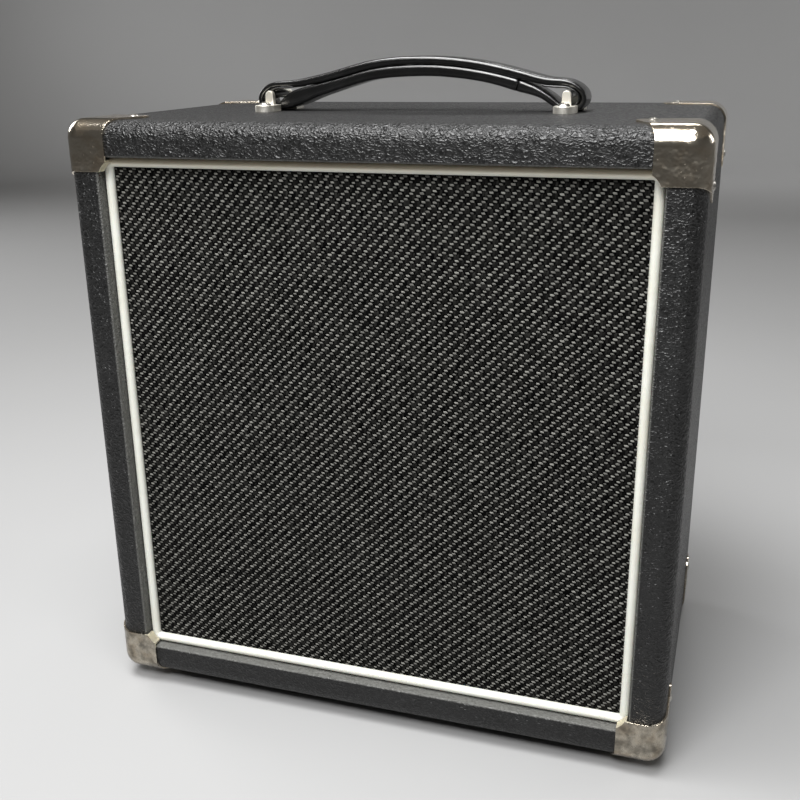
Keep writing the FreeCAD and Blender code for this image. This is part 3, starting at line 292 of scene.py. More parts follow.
def bright_plate(name, tint, dull, roughness, dark_reflection_strength=0.0):
    """Plated metal: soft clouding, small pits, hairlines, a painted dark reflection towards the
    floor and a painted pale one on the opening's lip.
    """
    hairline_size, cloud_size, pit_size = 0.6 * mm, 11 * mm, 1.8 * mm
    dark_reflection_spot_size, dark_reflection_heights = 9 * mm, (50 * mm, 250 * mm)
    dent_size, dent_depth = 8 * mm, 0.06 * mm
    finish = Finish(name, {"Metallic": 1.0})
    upright = finish.noise(hairline_size, 2.0, 0.6, finish.stretched((1.0, 1.0, 0.05)))
    hairlines = finish.step(upright, 0.60, 0.72)
    clouds = finish.step(finish.noise(cloud_size, 3.0), 0.38, 0.72)
    pits = finish.step(finish.noise(pit_size, 2.0), 0.69, 0.75)
    high = finish.step(finish.axis("Z"), *dark_reflection_heights)
    low = (1.0 - high) * (1.0 - finish.step(finish.upward(), 0.3, 0.8))
    spots = finish.step(finish.noise(dark_reflection_spot_size, 4.0, 0.6), 0.35, 0.7)
    # This tarnish is a painted dark reflection: low faces not turned up are darkened in spots, as if
    # mirroring a dark floor.
    tarnish = (0.5 + spots * 0.45) * low * dark_reflection_strength
    plate = finish.blend(clouds * 0.7 + pits * 0.3, tint, dull)
    # Lip faces inside the front opening take a pale cream colour: a painted reflection of the piping
    # and the light above.
    lip = finish.inside_opening() * (1.0 - finish.step(abs(finish.facing("Y")), 0.6, 0.9))
    dark_reflected = finish.blend(tarnish, plate, colour(0.05, 0.047, 0.04))
    dents = finish.noise(dent_size)
    return finish.feed({
        "Base Color": finish.blend(lip, dark_reflected, colour(0.86, 0.80, 0.64)),
        "Roughness": (roughness + clouds * 0.07 + hairlines * 0.04 + pits * 0.15
                      + tarnish * 0.2 + lip * 0.4),
        "Normal": finish.bump(hairlines * 0.2 - pits * 0.4 + dents * 7.0, dent_depth)})


def bare_plywood():
    """Birch ply: grain drawn out along the boards, fine dark pores, pale and warm bands."""
    band_size, pore_size, grain_depth = 12 * mm, 0.9 * mm, 0.12 * mm
    finish = Finish("bare_plywood", {"Specular IOR Level": 0.3})
    bands = finish.noise(band_size, 4.0, 0.6, finish.stretched((1.0, 0.07, 0.3)))
    streaks = finish.noise(pore_size, 2.0, 0.6, finish.stretched((1.0, 0.05, 0.25)))
    pores = finish.step(streaks, 0.55, 0.72)
    warmth = finish.step(bands, 0.3, 0.7)
    wood = finish.blend(warmth, colour(0.66, 0.49, 0.31), colour(0.50, 0.34, 0.19))
    return finish.feed({
        "Base Color": finish.blend(pores * 0.5, wood, colour(0.30, 0.19, 0.10)),
        "Roughness": 0.58 + pores * 0.2,
        "Normal": finish.bump(bands * 0.4 - pores, grain_depth)})


def painted_board():
    """Black stain on ply: grain shows through as ridges, roller texture, thin patches."""
    grain_size, roller_size, grain_depth = 6 * mm, 1.4 * mm, 0.2 * mm
    finish = Finish("painted_board", {"Specular IOR Level": 0.35})
    grain = finish.noise(grain_size, 4.0, 0.6, finish.stretched((0.08, 1.0, 1.0)))
    roller = finish.noise(roller_size, 2.0)
    thin = finish.step(grain, 0.62, 0.8)
    return finish.feed({
        "Base Color": finish.blend(thin * 0.5, grey(0.014), colour(0.05, 0.04, 0.032)),
        "Roughness": 0.6 + roller * 0.2,
        "Normal": finish.bump(grain * 0.6 + roller * 0.4, grain_depth)})


def loop_tape():
    """Black hook-and-loop tape: a dense pile of tiny tangled loops."""
    pile_size, pile_depth = 0.9 * mm, 0.8 * mm
    finish = Finish("loop_tape", {"Sheen Weight": 0.3})
    pile = finish.noise(pile_size, 3.0, 0.7)
    return finish.feed({
        "Base Color": finish.blend(pile, grey(0.005), grey(0.035)),
        "Roughness": 0.85 + pile * 0.1,
        "Normal": finish.bump(pile, pile_depth)})


def enamel(name, level, roughness, peel_size):
    """Sprayed enamel or powder coat: orange-peel surface, faint dust, slight tone changes."""
    tone_size, dust_size, peel_depth = 30 * mm, 1.6 * mm, peel_size * 0.12
    finish = Finish(name, {"Specular IOR Level": 0.5})
    peel = finish.noise(peel_size, 2.0)
    tone = finish.noise(tone_size, 3.0)
    specks = finish.step(finish.noise(dust_size, 2.0), 0.62, 0.75)
    dust = specks * finish.step(finish.upward(), 0.2, 0.9)
    base = finish.blend(tone, grey(level * 0.8), grey(level * 1.3))
    return finish.feed({
        "Base Color": finish.blend(dust * 0.3, base, grey(0.12)),
        "Roughness": roughness + tone * 0.1 + dust * 0.2,
        "Normal": finish.bump(peel, peel_depth)})


def felted(name, dark, light, size, depth, roughness):
    """Pressed fibre such as cone paper, gasket or board: short tangled fibres and soft mottling."""
    finish = Finish(name, {"Specular IOR Level": 0.2})
    fibres = finish.noise(size, 4.0, 0.7, finish.wandering(size * 3, size * 2))
    mottle = finish.noise(size * 14, 3.0)
    return finish.feed({
        "Base Color": finish.blend(fibres * 0.6 + mottle * 0.4, dark, light),
        "Roughness": roughness + fibres * 0.15,
        "Normal": finish.bump(fibres, depth)})


def doped_cloth(name, dark, light, thread, roughness):
    """Cloth stiffened with varnish: a fine square weave under an uneven glossy coat."""
    coat_size, bands_per_thread, thread_depth = 12 * mm, 0.31, thread * 0.25
    finish = Finish(name, {"Specular IOR Level": 0.4})
    values = {"Vector": finish.place, "Scale": bands_per_thread / thread}
    warp, weft = [finish.node("ShaderNodeTexWave", {"wave_type": "BANDS", "bands_direction": way},
                              values, "Fac") for way in ("X", "Z")]
    weave = warp * weft
    coat = finish.step(finish.noise(coat_size, 3.0), 0.35, 0.7)
    return finish.feed({
        "Base Color": finish.blend(weave * 0.7 + coat * 0.3, dark, light),
        "Roughness": roughness + coat * 0.2,
        "Normal": finish.bump(weave, thread_depth)})


def moulded(name, tone, roughness, size):
    """Moulded plastic, rubber or insulation: fine spark texture, faint flow marks and scuffs."""
    flow_size, scuff_size, spark_depth = 12 * mm, 3 * mm, size * 0.2
    finish = Finish(name, {"Specular IOR Level": 0.45})
    spark = finish.noise(size, 2.0, 0.6)
    flow = finish.noise(flow_size, 3.0)
    scuffs = finish.step(finish.noise(scuff_size, 3.0, 0.7), 0.6, 0.78)
    pale = tuple(min(1.0, level * 1.5 + 0.02) for level in tone[:3]) + (1.0,)
    return finish.feed({
        "Base Color": finish.blend(flow * 0.3 + scuffs * 0.4, tone, pale),
        "Roughness": roughness + spark * 0.12 + scuffs * 0.12,
        "Normal": finish.bump(spark, spark_depth)})


def drawn_copper():
    """Copper wire and braid: fine turns across it, tarnish in patches."""
    turn_size, turn_depth, tarnish_size = 0.5 * mm, 0.15 * mm, 6 * mm
    finish = Finish("drawn_copper", {"Metallic": 1.0})
    turns = finish.noise(turn_size, 1.0, 0.5, finish.stretched((0.2, 1.0, 0.2)))
    tarnish = finish.step(finish.noise(tarnish_size, 3.0), 0.45, 0.75)
    return finish.feed({
        "Base Color": finish.blend(tarnish, colour(0.80, 0.43, 0.26), colour(0.38, 0.18, 0.10)),
        "Roughness": 0.28 + tarnish * 0.25,
        "Normal": finish.bump(turns, turn_depth)})


finishes = {
    "plywood": bare_plywood(),
    "black_board": painted_board(),
    "covering_vinyl": leather_grain_vinyl(),
    "grille_weave": woven_backing(),
    "cream_piping": cream_bead(),
    "hook_and_loop": loop_tape(),
    # Its last number sets the strength of the painted dark reflection low on the corners.
    "corner_metal": bright_plate("corner_nickel", colour(0.80, 0.73, 0.61),
                                 colour(0.54, 0.43, 0.30), 0.14, 0.9),
    "screw_steel": bright_plate("screw_nickel", colour(0.50, 0.48, 0.44),
                                colour(0.30, 0.28, 0.25), 0.30),
    "black_screw": enamel("blackened_steel", 0.03, 0.4, 0.9 * mm),
    "handle_vinyl": smooth_strap_vinyl(),
    "loop_metal": bright_plate("loop_nickel", colour(0.95, 0.92, 0.84),
                               colour(0.84, 0.79, 0.68), 0.42),
    "foot_rubber": moulded("foot_rubber", grey(0.018), 0.62, 0.8 * mm),
    "basket_paint": enamel("basket_enamel", 0.045, 0.34, 1.8 * mm),
    "gasket_cork": felted("gasket_fibre", colour(0.10, 0.07, 0.045), colour(0.26, 0.19, 0.12),
                          1.2 * mm, 0.4 * mm, 0.8),
    "cone_paper": felted("cone_paper", grey(0.022), colour(0.075, 0.07, 0.064),
                         1.3 * mm, 0.4 * mm, 0.75),
    "surround_cloth": doped_cloth("surround_cloth", grey(0.008), grey(0.03), 0.7 * mm, 0.35),
    "spider_cloth": doped_cloth("spider_cloth", colour(0.36, 0.24, 0.09),
                                colour(0.66, 0.50, 0.25), 0.9 * mm, 0.5),
    "coil_copper": drawn_copper(),
    "plated_iron": bright_plate("zinc_plate", colour(0.46, 0.45, 0.41),
                                colour(0.42, 0.40, 0.33), 0.36),
    "ferrite": enamel("ferrite", 0.035, 0.55, 0.6 * mm),
    "fibre_board": felted("fibre_board", colour(0.17, 0.09, 0.04), colour(0.33, 0.20, 0.10),
                          0.8 * mm, 0.1 * mm, 0.5),
    "tag_brass": bright_plate("tinned_brass", colour(0.80, 0.72, 0.50),
                              colour(0.60, 0.50, 0.28), 0.25),
    "jack_plate_metal": enamel("jack_plate_coat", 0.016, 0.42, 0.7 * mm),
    "jack_plastic": moulded("jack_plastic", grey(0.014), 0.3, 0.5 * mm),
    "wire_red": moulded("red_insulation", colour(0.42, 0.022, 0.02), 0.4, 0.6 * mm),
    "wire_black": moulded("black_insulation", grey(0.012), 0.4, 0.6 * mm),
    "clip_nylon": moulded("clip_nylon", colour(0.70, 0.68, 0.62), 0.42, 0.8 * mm),
}
# Weft and warp are the same glossy black yarn: the weft's pale colour is a painted highlight, the
# warp's near black a painted shade.
weft_yarn_painted_highlight = grille_yarn("weft_yarn_painted_highlight", 0.002, 0.25, 0.14, 0.42)
warp_yarn_painted_shade = grille_yarn("warp_yarn_painted_shade", 0.001, 0.022, 0.04, 0.65)

for part in frame["record"]["subparts"]:
    shown = frame["nodes"][part["node"]]
    shown.data.materials.clear()
    shown.data.materials.append(finishes[part["material_slot"]].material)


# Pieces made as surfaces on a grid

def grid_faces(rows, columns, closed=False):
    """Four-cornered faces between neighbouring points of a grid; closed joins the last column."""
    row = np.arange(rows - 1)[:, None]
    column = np.arange(columns if closed else columns - 1)[None, :]
    after = (column + 1) % columns
    corners = [row * columns + column, row * columns + after,
               (row + 1) * columns + after, (row + 1) * columns + column]
    return np.stack(np.broadcast_arrays(*corners), -1).reshape(-1, 4)


def tube_faces(rows, columns):
    """Faces of a tube closed round its columns, with a cap at both ends."""
    ring = np.arange(columns)
    caps = [ring[::-1].tolist(), (ring + (rows - 1) * columns).tolist()]
    return grid_faces(rows, columns, closed=True).tolist() + caps


def make_piece(name, points, faces, finish, body):
    """Mesh object from an array of points and lists of faces, smooth, carried by a body."""
    mesh = bpy.data.meshes.new(name)
    mesh.from_pydata(points.reshape(-1, 3), [], faces)
    mesh.polygons.foreach_set("use_smooth", np.ones(len(mesh.polygons), bool))
    mesh.materials.append(finish.material)
    mesh.update()
    piece = bpy.data.objects.new(name, mesh)
    bpy.context.scene.collection.objects.link(piece)
    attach(piece, body)
    return piece


def smooth_line(stations, count):
    """Natural cubic spline through rows of numbers, by chord length of the first two columns."""
    stations = np.asarray(stations, float)
    steps = np.linalg.norm(np.diff(stations[:, :2], axis=0), axis=1)
    at = np.concatenate([[0.0], np.cumsum(steps)])
    size = len(at)
    matrix = np.zeros((size, size))
    right = np.zeros_like(stations)
    inner = np.arange(1, size - 1)
    matrix[0, 0] = matrix[-1, -1] = 1.0
    matrix[inner, inner - 1] = steps[:-1]
    matrix[inner, inner] = 2 * (steps[:-1] + steps[1:])
    matrix[inner, inner + 1] = steps[1:]
    slopes = np.diff(stations, axis=0) / steps[:, None]
    right[inner] = 6 * np.diff(slopes, axis=0)
    curve = np.linalg.solve(matrix, right)
    along = np.linspace(0, at[-1], count)
    span = np.clip(np.searchsorted(at, along, "right") - 1, 0, size - 2)
    width = steps[span][:, None]
    before = (at[span + 1] - along)[:, None]
    after = (along - at[span])[:, None]
    return (curve[span] * before ** 3 / (6 * width) + curve[span + 1] * after ** 3 / (6 * width)
            + (stations[span] / width - curve[span] * width / 6) * before
            + (stations[span + 1] / width - curve[span + 1] * width / 6) * after)


# Grille cloth: a backing sheet with a basket weave of weft and warp floats on it

cloth_low, cloth_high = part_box("grille_cloth")
cloth_width = cloth_high.x - cloth_low.x
cloth_height = cloth_high.z - cloth_low.z
cloth_front = cloth_low.y
cloth_middle = (cloth_low.z + cloth_high.z) / 2
cloth_wrap = cloth_high.y - cloth_low.y
backing_sink = 0.5 * mm
backing_steps = 120
weave_margin = 2 * mm
yarn_pitch_x = 3.40 * mm
yarn_pitch_z = 3.43 * mm
yarn_stray = 0.1 * mm
float_rise = 0.55 * mm
float_spread = 0.09
# Points of one float, as shares of its half length and half width
float_run = np.array([-1.0, -0.5, 0.5, 1.0])
float_side = np.array([-1.0, 0.0, 1.0])
# The two wefts of a cell: how far each lies from its middle, half sizes, mean painted light (a
# painted highlight on the upper weft, painted shade on the lower one), their spread
weft_offset = np.array([0.55 * mm, 0, 1.0 * mm])
weft_half_length = 1.22 * mm
weft_half_width = 0.62 * mm
upper_weft_painted_highlight, lower_weft_painted_shade, weft_painted_light_spread = 0.85, 0.5, 0.18
# The two warps of a cell, likewise; their low painted light is painted shade
warp_offset = np.array([0.85 * mm, 0, 0])
warp_half_length = 1.6 * mm
warp_half_width = 0.8 * mm
warp_mean_painted_shade, warp_painted_shade_spread = 0.4, 0.2


def grille_backing():
    """Flat sheet whose coordinates run on past the frame's edges and there turn back along y."""
    reach_x = cloth_width / 2 - backing_sink
    reach_z = cloth_height / 2 - backing_sink
    wrap = cloth_wrap - 2 * backing_sink
    share = np.linspace(-1, 1, backing_steps)
    flat_x, flat_z = np.meshgrid(share * (reach_x + wrap), share * (reach_z + wrap), indexing="ij")
    over = np.maximum(np.maximum(abs(flat_x) - reach_x, abs(flat_z) - reach_z), 0)
    points = np.stack([np.clip(flat_x, -reach_x, reach_x), cloth_front + backing_sink + over,
                       cloth_middle + np.clip(flat_z, -reach_z, reach_z)], -1)
    piece = make_piece("grille_backing", points, grid_faces(backing_steps, backing_steps)[:, ::-1],
                       finishes["grille_weave"], "cabinet")
    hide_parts("grille_cloth")
    return piece, (2 * (reach_x + wrap), 2 * (reach_z + wrap))


def yarn_floats(name, finish, middles, along, across, painted_light_level):
    """Many small domes: the crown is one minus the fourth power along the yarn, times one minus
    the square across it."""
    run, side = float_run[:, None, None], float_side[None, :, None]
    crown = (1 - run ** 4) * (1 - side ** 2) * np.array([0, -1.0, 0])
    dome = run * np.array(along) + side * np.array(across) + crown * float_rise
    count, corners = len(middles), float_run.size * float_side.size
    size = chance.normal(1, float_spread, (count, 1, 1, 1))
    points = middles[:, None, None, :] + dome[None] * size
    one_float = grid_faces(float_run.size, float_side.size)[None, :, ::-1]
    faces = (one_float + np.arange(count)[:, None, None] * corners).reshape(-1, 4)
    piece = make_piece(name, points, faces, finish, "cabinet")
    layer = piece.data.attributes.new("painted_light_level", "FLOAT", "POINT")
    layer.data.foreach_set("value", np.repeat(painted_light_level, corners).astype(np.float32))
    return piece


def grille_cells():
    """Middles of the weave's cells and whether the weft is on top, as on a chessboard."""
    columns = int((cloth_width / 2 - weave_margin) / yarn_pitch_x)
    rows = int((cloth_height / 2 - weave_margin) / yarn_pitch_z)
    column, row = np.meshgrid(np.arange(-columns, columns + 1), np.arange(-rows, rows + 1),
                              indexing="ij")
    middles = np.stack([column * yarn_pitch_x, np.full(column.shape, cloth_front + backing_sink),
                        cloth_middle + row * yarn_pitch_z], -1).reshape(-1, 3)
    middles[:, [0, 2]] += chance.normal(0, yarn_stray, (len(middles), 2))
    return middles, ((column + row) % 2 == 0).ravel()


backing, cloth_cut = grille_backing()
middles, weft_on_top = grille_cells()
weft_middles = middles[weft_on_top]
warp_middles = middles[~weft_on_top]
weft_places = np.concatenate([weft_middles + weft_offset, weft_middles - weft_offset])
weft_painted_light = np.repeat([upper_weft_painted_highlight, lower_weft_painted_shade], len(weft_middles))
weft_painted_light = np.clip(weft_painted_light * chance.normal(1, weft_painted_light_spread, len(weft_painted_light)), 0, 1)
weft = yarn_floats("grille_weft", weft_yarn_painted_highlight, weft_places, (weft_half_length, 0, 0),
                   (0, 0, weft_half_width), weft_painted_light)
warp_places = np.concatenate([warp_middles - warp_offset, warp_middles + warp_offset])
warp_painted_shade = np.clip(chance.normal(warp_mean_painted_shade, warp_painted_shade_spread, len(warp_places)), 0, 1)
warp = yarn_floats("grille_warp", warp_yarn_painted_shade, warp_places, (0, 0, -warp_half_length),
                   (warp_half_width, 0, 0), warp_painted_shade)


# Strap handle: two bands of rounded section

strap_low, strap_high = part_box("handle_strap")
strap_width = strap_high.y - strap_low.y
cabinet_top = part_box("vinyl_covering")[1].z
strap_edge = 2.2 * mm
strap_edge_share = 0.42
corner_turns = 6
end_inset = 0.4 * mm
end_rows = 2
strap_rows, grip_rows, lining_rows = 320, 200, 60


def band(name, stations, count):
    """Rounded rectangle carried along a line in the plane of the handle, drawn in at both ends.

    The section's corners are quarter circles; the line's third number is its thickness there."""
    line = smooth_line(np.asarray(stations, float) * mm, count)
    path = line[:, :2] + np.array([0, cabinet_top])
    tangent = np.gradient(path, axis=0)
    tangent /= np.linalg.norm(tangent, axis=1)[:, None]
    normal = np.stack([-tangent[:, 1], tangent[:, 0]], 1)
    quarter, point = np.divmod(np.arange(4 * corner_turns), corner_turns)
    turn = quarter * (np.pi / 2) + point * (np.pi / 2 / (corner_turns - 1))
    middle = quarter * (np.pi / 2) + np.pi / 4
    side, high = np.sign(np.cos(middle)), np.sign(np.sin(middle))
    ends = np.minimum(np.arange(count), np.arange(count)[::-1])
    inset = (end_inset * np.maximum(0, 1 - ends / end_rows) ** 2)[:, None]
    thickness = line[:, 2][:, None]
    edge = np.minimum(strap_edge, thickness * strap_edge_share)
    across = side * (strap_width / 2 - inset - edge) + edge * np.cos(turn)
    lift = high * (thickness / 2 - inset / 2 - edge) + edge * np.sin(turn)
    points = np.stack([path[:, :1] + normal[:, :1] * lift, across,
                       path[:, 1:] + normal[:, 1:] * lift], -1)
    faces = tube_faces(count, 4 * corner_turns)
    return make_piece(name, points, faces, finishes["handle_vinyl"], "handle")


# Middle line of each band: distance from the handle's middle, height over the cabinet, thickness
right_tail = [(71.2, 16.7, 7.6), (75, 15.6, 7.0), (80, 14.1, 6.4), (85, 12.2, 5.7),
              (90, 9.5, 5.2), (94.5, 6.4, 4.9), (98.5, 3.9, 4.0)]
right_loop = [(102.5, 2.8, 3.4), (107.5, 2.4, 3.4), (111.6, 3.6, 3.4), (114.0, 7.0, 3.4),
              (113.9, 10.6, 3.4), (111.6, 13.9, 3.5), (107.4, 16.8, 3.6), (102.4, 18.5, 3.9),
              (97, 19.0, 4.3)]
upper_arch = [(91, 19.3, 4.8), (85, 20.3, 5.1), (75, 22.7, 5.6), (60, 26.5, 5.5), (45, 29.6, 5.4),
              (30, 31.7, 5.3), (15, 32.8, 5.3), (0, 33.0, 5.3), (-15, 32.3, 5.5),
              (-30, 30.4, 5.6), (-45, 27.0, 5.7), (-60, 23.3, 5.5), (-75, 20.2, 5.2)]
left_loop = [(-84, 18.9, 4.6), (-92, 18.4, 3.9), (-99, 18.1, 3.5), (-105, 17.0, 3.4),
             (-110, 14.2, 3.4), (-112.9, 10.4, 3.4), (-113.0, 6.2, 3.4), (-110.2, 3.2, 3.4),
             (-105.6, 2.4, 3.4), (-100.6, 2.4, 3.4)]
strap = band("strap_band", right_tail + right_loop + upper_arch + left_loop, strap_rows)
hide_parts("handle_strap")
grip_line = [(-99.6, 2.2, 3.4), (-97, 4.1, 5.6), (-93, 6.1, 8.2), (-88, 8.4, 9.8),
             (-84, 9.8, 10.0), (-75, 12.6, 8.9), (-60, 16.6, 7.5), (-45, 20.6, 6.9),
             (-30, 24.1, 7.0), (-15, 25.8, 7.4), (0, 26.5, 7.5), (15, 26.4, 7.4), (30, 25.2, 7.3),
             (45, 23.1, 7.1), (60, 19.9, 7.3), (70.8, 16.9, 7.7)]
grip = band("grip_band", grip_line, grip_rows)
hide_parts("handle_grip")
# Inner lining of each loop, short of the bar below
right_lining = [(87, 16.7, 0.9), (92, 16.2, 1.3), (97, 15.9, 1.4), (102, 15.6, 1.4),
                (106.6, 14.2, 1.4), (109.8, 11.8, 1.4), (111.2, 9.0, 1.4), (110.4, 6.4, 1.4),
                (108.4, 4.8, 1.0)]
left_lining = [(-88, 16.2, 0.9), (-93, 15.8, 1.3), (-99, 15.5, 1.4), (-104.5, 14.5, 1.4),
               (-108.2, 12.4, 1.4), (-110.2, 9.6, 1.4), (-110.2, 6.8, 1.4), (-108.8, 5.0, 1.0)]
band("right_loop_lining", right_lining, lining_rows)
band("left_loop_lining", left_lining, lining_rows)

bar_height = 10.9 * mm
bar_sleeve_radius = 2.5 * mm
bar_sleeve_taper = 0.25 * mm
bar_sleeve_half_width = 12.4 * mm
bar_sleeve_rows = 25
bar_sleeve_turns = 24


def bar_sleeve(name, node):
    """Thin tube round a bracket's bar: a circle carried across the strap's width, its radius less
    the twelfth power of the way out to either end."""
    low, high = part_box(node)
    run = np.linspace(1, -1, bar_sleeve_rows)[:, None]
    turn = np.linspace(0, 2 * np.pi, bar_sleeve_turns, endpoint=False)[None, :]
    radius = bar_sleeve_radius - bar_sleeve_taper * run ** 12
    points = np.stack([(low.x + high.x) / 2 + radius * np.cos(turn),
                       run * bar_sleeve_half_width + 0 * turn,
                       cabinet_top + bar_height + radius * np.sin(turn)], -1)
    make_piece(name, points, tube_faces(bar_sleeve_rows, bar_sleeve_turns),
               finishes["handle_vinyl"], "cabinet")


bar_sleeve("left_bar_sleeve", "handle_bracket_left")
bar_sleeve("right_bar_sleeve", "handle_bracket_right")


# Plated corners and brackets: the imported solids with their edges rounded

merge_distance = 0.001 * mm
flat_angle = np.radians(0.5)
sharp_angle = np.radians(40)
corner_round = 0.5 * mm
bracket_round = 0.6 * mm
round_segments = 3
flat_face_weight = 80


def eased_copy(node, width):
    """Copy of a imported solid: its points merged, flat triangles joined, sharp edges made round."""
    source = frame["nodes"][node]
    mesh = source.data.copy()
    form = bmesh.new()
    form.from_mesh(mesh)
    bmesh.ops.remove_doubles(form, verts=form.verts, dist=merge_distance)
    bmesh.ops.dissolve_limit(form, angle_limit=flat_angle, verts=form.verts, edges=form.edges)
    form.to_mesh(mesh)
    form.free()
    mesh.polygons.foreach_set("use_smooth", np.ones(len(mesh.polygons), bool))
    piece = bpy.data.objects.new(node + "_eased", mesh)
    bpy.context.scene.collection.objects.link(piece)
    rounding = piece.modifiers.new("rounding", "BEVEL")
    rounding.width = width
    rounding.segments = round_segments
    rounding.limit_method = "ANGLE"
    rounding.angle_limit = sharp_angle
    steady = piece.modifiers.new("steady", "WEIGHTED_NORMAL")
    steady.weight = flat_face_weight
    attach(piece, "cabinet")
    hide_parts(node)


for end in ("front", "rear"):
    for corner in ("top_left", "top_right", "bottom_left", "bottom_right"):
        eased_copy("corner_" + end + "_" + corner, corner_round)
eased_copy("handle_bracket_left", bracket_round)
eased_copy("handle_bracket_right", bracket_round)


# Inner wires and the leads from the voice coil

cord_steps = 10
cord_roundness = 3


def smooth_cord(name, route, diameter):
    """Smooth line of the third order with the route's points as its control points, and a round
    section."""
    line = bpy.data.curves.new(name, "CURVE")
    line.dimensions = "3D"
    line.resolution_u = cord_steps
    spline = line.splines.new("NURBS")
    spline.points.add(len(route) - 1)
    controls = np.column_stack([np.array(route) * mm, np.ones(len(route))])
    spline.points.foreach_set("co", controls.ravel())
    spline.order_u = 3
    spline.use_endpoint_u = True
    piece = bpy.data.objects.new(name, line)
    bpy.context.scene.collection.objects.link(piece)
    bare = bpy.data.meshes.new_from_object(piece)
    path = np.empty(len(bare.vertices) * 3)
    bare.vertices.foreach_get("co", path)
    bpy.data.meshes.remove(bare)
    line.bevel_depth = diameter / 2
    line.bevel_resolution = cord_roundness
    line.use_fill_caps = True
    return piece, path.reshape(-1, 3)


# Sleeves pushed on the tags, in millimetres; the neck and the lip are shares of the section
push_on_length = 11.0
push_on_half_width = 3.5
push_on_half_thickness = 1.5
push_on_rows = 14
push_on_turns = 28
neck_share = 0.45
lip_share = 0.12


def push_on_sleeve(name, foot, along, wide, flat, finish):
    """Rounded box carried along a tag, narrowed where the wire goes in.

    Its section is a circle drawn out to a fourth-power oval, less the fifth power of the way back
    to the neck and the sixteenth power of the way to the lip."""
    run = np.linspace(0, 1, push_on_rows)[:, None, None]
    turn = np.linspace(0, 2 * np.pi, push_on_turns, endpoint=False)[None, :, None]
    oval = [np.sign(wave) * np.sqrt(abs(wave)) for wave in (np.cos(turn), np.sin(turn))]
    swell = 1 - neck_share * (1 - run) ** 5 - lip_share * run ** 16
    section = oval[0] * np.array(wide) + oval[1] * np.array(flat)
    points = np.array(foot) + run * np.array(along) + swell * section
    return make_piece(name, points * mm, tube_faces(push_on_rows, push_on_turns), finish,
                      "cabinet")


# Routes in millimetres, for the right-hand cord of each pair
wire_diameter = 2.6 * mm
wire_route = [(5.0, 76.82, 94.5), (4.74, 60.71, 88.4), (3.96, 46.902, 68.27),
              (3.18, 33.093, 45.7), (2.4, 11.23, 33.5), (2.4, -14.085, 33.5),
              (4.71, -31.346, 48.897), (8.01, -38.25, 75.292), (9.0, -38.25, 106.82)]
for side, tone in ((-1, "red"), (1, "black")):
    route = [(side * x, y, z) for x, y, z in wire_route]
    slot = "wire_" + tone
    wire, path = smooth_cord(tone + "_wire", route, wire_diameter)
    wire.data.materials.append(finishes[slot].material)
    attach(wire, "cabinet")
    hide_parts("speaker_wire_" + tone)
    sleeves = [push_on_sleeve(tone + "_jack_sleeve", route[0], (0, push_on_length, 0),
                              (0, 0, push_on_half_width), (push_on_half_thickness, 0, 0),
                              finishes[slot]),
               push_on_sleeve(tone + "_speaker_sleeve", route[-1], (0, 0, push_on_length),
                              (push_on_half_width, 0, 0), (0, push_on_half_thickness, 0),
                              finishes[slot])]

tinsel_diameter = 1.2 * mm
tinsel_route = [(9.0, -65.6, 155.0), (9.0, -62.0, 144.0), (9.0, -56.0, 133.0),
                (9.0, -48.5, 126.0), (9.0, -38.9, 126.0)]
for side, name in ((-1, "left_tinsel"), (1, "right_tinsel")):
    route = [(side * x, y, z) for x, y, z in tinsel_route]
    line, path = smooth_cord(name + "_line", route, tinsel_diameter)
    braid = bpy.data.objects.new(name, bpy.data.meshes.new_from_object(line))
    bpy.data.objects.remove(line)
    bpy.context.scene.collection.objects.link(braid)
    braid.data.materials.clear()
    braid.data.materials.append(finishes["coil_copper"].material)
    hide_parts("tinsel_leads")
    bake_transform(braid)


# Pleated rings of the loudspeaker, in sectors.
# Sizes in millimetres.

axis_z = 210.0
baffle_back = -87.0
sectors = 12
sheet_half = 0.3
ring_points = 90
section_points = 2 * ring_points
sector_rows = 9


def pleated_ring(node, inner, first, last, outer, depths, height, waves, finish):
    """Ring turned about the loudspeaker's axis: its depth falls or rises evenly and carries a sine
    wave of pleats between the first and last radius."""
    radius = np.linspace(inner, outer, ring_points)
    share = np.clip((radius - first) / (last - first), 0, 1)
    pleats = height * np.sin(2 * np.pi * waves * share)
    depth = depths[0] + (depths[1] - depths[0]) * share - pleats
    section = np.concatenate([radius, radius[::-1]])
    level = baffle_back + np.concatenate([depth - sheet_half, depth[::-1] + sheet_half])
    step = np.arange(ring_points - 1)
    cap = np.stack([step, step + 1, section_points - 2 - step, section_points - 1 - step], -1)
    faces = np.concatenate([grid_faces(sector_rows, section_points, closed=True), cap[:, ::-1],
                            cap + (sector_rows - 1) * section_points])
    for sector in range(sectors):
        turn = (sector + np.linspace(0, 1, sector_rows)) * (2 * np.pi / sectors)
        points = np.stack([np.outer(np.cos(turn), section),
                           np.broadcast_to(level, (sector_rows, section_points)),
                           axis_z + np.outer(np.sin(turn), section)], -1) * mm
        piece = bpy.data.objects.new("%s_sector_%02d" % (node, sector), bpy.data.meshes.new(node))
        piece.data.from_pydata(points.reshape(-1, 3), [], faces)
        piece.data.polygons.foreach_set("use_smooth", np.ones(len(piece.data.polygons), bool))
        piece.data.materials.append(finish.material)
        bpy.context.scene.collection.objects.link(piece)
        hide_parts(node)
        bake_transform(piece)


pleated_ring("speaker_surround", inner=93.0, first=97.0, last=108.4, outer=116.4,
             depths=(2.7, 1.7), height=1.5, waves=2.5,
             finish=finishes["surround_cloth"])
pleated_ring("speaker_spider", inner=19.4, first=22.4, last=57.0, outer=67.0,
             depths=(44.95, 44.95), height=1.4, waves=4.5,
             finish=finishes["spider_cloth"])


# Stage, light and camera, in metres and watts

floor_reaches = [0.5, 1.5]
floor_radius = 3.4
wall_bend = 1.2
wall_height = 3.6
bend_steps = 14
floor_turns = 96
paper_mottle = 0.6


